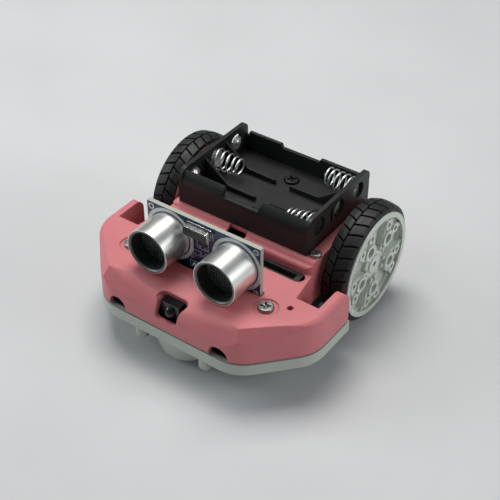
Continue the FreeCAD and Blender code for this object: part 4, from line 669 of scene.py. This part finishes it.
# solder joints round the four header pins, on the board's front face
bm = bmesh.new()
for i in range(4):
    x = (i - 1.5) * 2.54
    at = P3(x, 0, 28.72)
    prof = [(0.92, 0.0), (0.90, -0.10), (0.72, -0.28), (0.52, -0.50), (0.42, -0.78), (0.36, -1.05), (0.24, -1.25), (0.0, -1.32)]
    lathe(bm, [(0.0, -0.005 * MM)] + [(r * MM, a * MM - 0.005 * MM) for r, a in prof], at, "y", 20)
solder = Mat("solder")
solder.set(Base_Color=solder.mix(solder.rng(solder.noise(900, 3, 0.6), 0.3, 0.7), (0.52, 0.52, 0.50), (0.72, 0.72, 0.70)),
           Roughness=solder.add(0.26, solder.rng(solder.noise(1500, 3, 0.6), 0.3, 0.7, -0.08, 0.12)))
solder.b.inputs["Metallic"].default_value = 1.0
solder.set(Normal=solder.bump(solder.noise(1400, 2, 0.5), 0.00003, 1.0))
piece("header_solder", bm, solder.m, "chassis")

# surface mounted parts between the cans
ceramic = Mat("ceramic_tan")
ceramic.set(Base_Color=ceramic.mix(ceramic.rng(ceramic.noise(1300, 3, 0.6), 0.3, 0.7), (0.20, 0.15, 0.10), (0.28, 0.21, 0.14)),
            Roughness=ceramic.add(0.42, ceramic.rng(ceramic.noise(1800, 2, 0.6), 0.3, 0.7, -0.05, 0.08)),
            Normal=ceramic.bump(ceramic.noise(2600, 2, 0.5), 0.00001, 1.0, ceramic.round_(0.00008)))
bm = bmesh.new()
for (x, z) in ((-3.6, 32.6), (3.2, 32.4), (0.0, 34.3), (-1.4, 37.9), (1.9, 37.6)):
    chip(bm, x - 0.55, x + 0.55, -0.52, -0.01, z - 0.32, z + 0.32, 0.05)
piece("range_front_parts", bm, ceramic.m, "chassis")
bm = bmesh.new()
for (x, z) in ((-3.6, 32.6), (3.2, 32.4), (0.0, 34.3), (-1.4, 37.9), (1.9, 37.6)):
    for s in (-1, 1):
        chip(bm, x + s * 0.72 - 0.2, x + s * 0.72 + 0.2, -0.5, -0.01, z - 0.36, z + 0.36, 0.06)
piece("range_front_joints", bm, solder.m, "chassis")


# bright wire springs: round wire on a flat inner coil, then an open helix that narrows
def spring(sgn, y, L, lift, turns=4.6, r0=3.8, r1=2.9, steps=40, sides=12, wr=0.3):
    x_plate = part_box("contact_springs")[1].x if sgn > 0 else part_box("contact_springs")[0].x
    pts = []
    for i in range(steps + 1):
        t = i / steps
        a = 2 * math.pi * t
        r = 1.3 + (r0 - 1.3) * t
        pts.append((0.3 + 0.25 * t, r * math.cos(a), r * math.sin(a)))
    n = int(turns * steps)
    for i in range(1, n + 1):
        t = i / n
        a = 2 * math.pi * (1 + turns * t)
        k = min(1.0, t / (1 - 0.5 / turns))
        pts.append((0.55 + (L - 0.55) * k, (r0 + (r1 - r0) * t) * math.cos(a), (r0 + (r1 - r0) * t) * math.sin(a)))
    line = [Vector((x_plate - sgn * (p[0] - 0.04) * MM, (y + DY + p[1]) * MM, (40.4 + p[2] + lift * p[0] / L) * MM)) for p in pts]
    b = bmesh.new()
    rings = []
    for i, c in enumerate(line):
        d = (line[min(i + 1, len(line) - 1)] - line[max(i - 1, 0)]).normalized()
        u = (Vector((1, 0, 0)) - d * d.x).normalized()
        w = d.cross(u)
        rings.append([b.verts.new(c + u * (wr * MM * math.cos(2 * math.pi * j / sides)) + w * (wr * MM * math.sin(2 * math.pi * j / sides))) for j in range(sides)])
    for A, B in zip(rings, rings[1:]):
        for j in range(sides):
            k = (j + 1) % sides
            b.faces.new((A[j], A[k], B[k], B[j]))
    for R, at in ((rings[0], line[0] + (line[0] - line[1]).normalized() * wr * MM * 0.6), (rings[-1], line[-1] + (line[-1] - line[-2]).normalized() * wr * MM * 0.6)):
        v = b.verts.new(at)
        for j in range(sides):
            b.faces.new((R[j], R[(j + 1) % sides], v))
    return b


allsp = bmesh.new()
for sgn, y, L, lift in ((1, 27.8, 9.6, -1.2), (1, 52.2, 9.8, 1.3), (-1, 40.0, 10.0, 0.0)):
    b = spring(sgn, y, L, lift)
    tmp = bpy.data.meshes.new("tmp")
    b.to_mesh(tmp)
    b.free()
    allsp.from_mesh(tmp)
    bpy.data.meshes.remove(tmp)
sp_o = piece("spring_coils", allsp, mats["spring"], "chassis")
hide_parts("contact_springs")

# ---------------------------------------------------------------- floor and light
fm = Mat("floor_pale")
fm.set(Base_Color=fm.mix(fm.rng(fm.noise(14, 3, 0.5), 0.3, 0.7), (0.60, 0.605, 0.61), (0.64, 0.645, 0.65)),
       Roughness=fm.add(0.62, fm.rng(fm.noise(60, 2, 0.5), 0.3, 0.7, -0.03, 0.04)),
       Normal=fm.bump(fm.noise(900, 3, 0.6), 0.00004, 0.6))
bm = bmesh.new()
s = 9.0
vs = [bm.verts.new((x, y, -0.00005)) for x, y in ((-s, -s), (s, -s), (s, s), (-s, s))]
bm.faces.new(vs)
me = bpy.data.meshes.new("floor")
bm.to_mesh(me)
bm.free()
floor = bpy.data.objects.new("floor", me)
bpy.context.scene.collection.objects.link(floor)
floor.data.materials.append(fm.m)

world = bpy.data.worlds.new("studio")
bpy.context.scene.world = world
world.use_nodes = True
world.node_tree.nodes["Background"].inputs[0].default_value = (0.86, 0.92, 1.0, 1.0)
world.node_tree.nodes["Background"].inputs[1].default_value = 0.17


def area(name, at, to, size, power, color=(1, 1, 1)):
    d = bpy.data.lights.new(name, "AREA")
    d.shape = "RECTANGLE"
    d.size, d.size_y = size
    d.energy = power
    d.color = color
    o = bpy.data.objects.new(name, d)
    bpy.context.scene.collection.objects.link(o)
    o.location = at
    o.rotation_euler = (Vector(to) - Vector(at)).to_track_quat("-Z", "Y").to_euler()
    return o


area("key_overhead", (-0.16, 0.16, 0.62), (0, 0, 0.02), (0.42, 0.34), 3.3, (1.0, 0.985, 0.96))
area("fill_left", (-0.62, -0.26, 0.36), (0, 0, 0.02), (0.4, 0.4), 1.9, (0.93, 0.97, 1.0))
area("fill_right", (0.66, 0.22, 0.34), (0, 0, 0.02), (0.36, 0.36), 1.7, (0.97, 0.985, 1.0))

scene = bpy.context.scene
scene.view_settings.view_transform = "Standard"
scene.view_settings.look = "None"
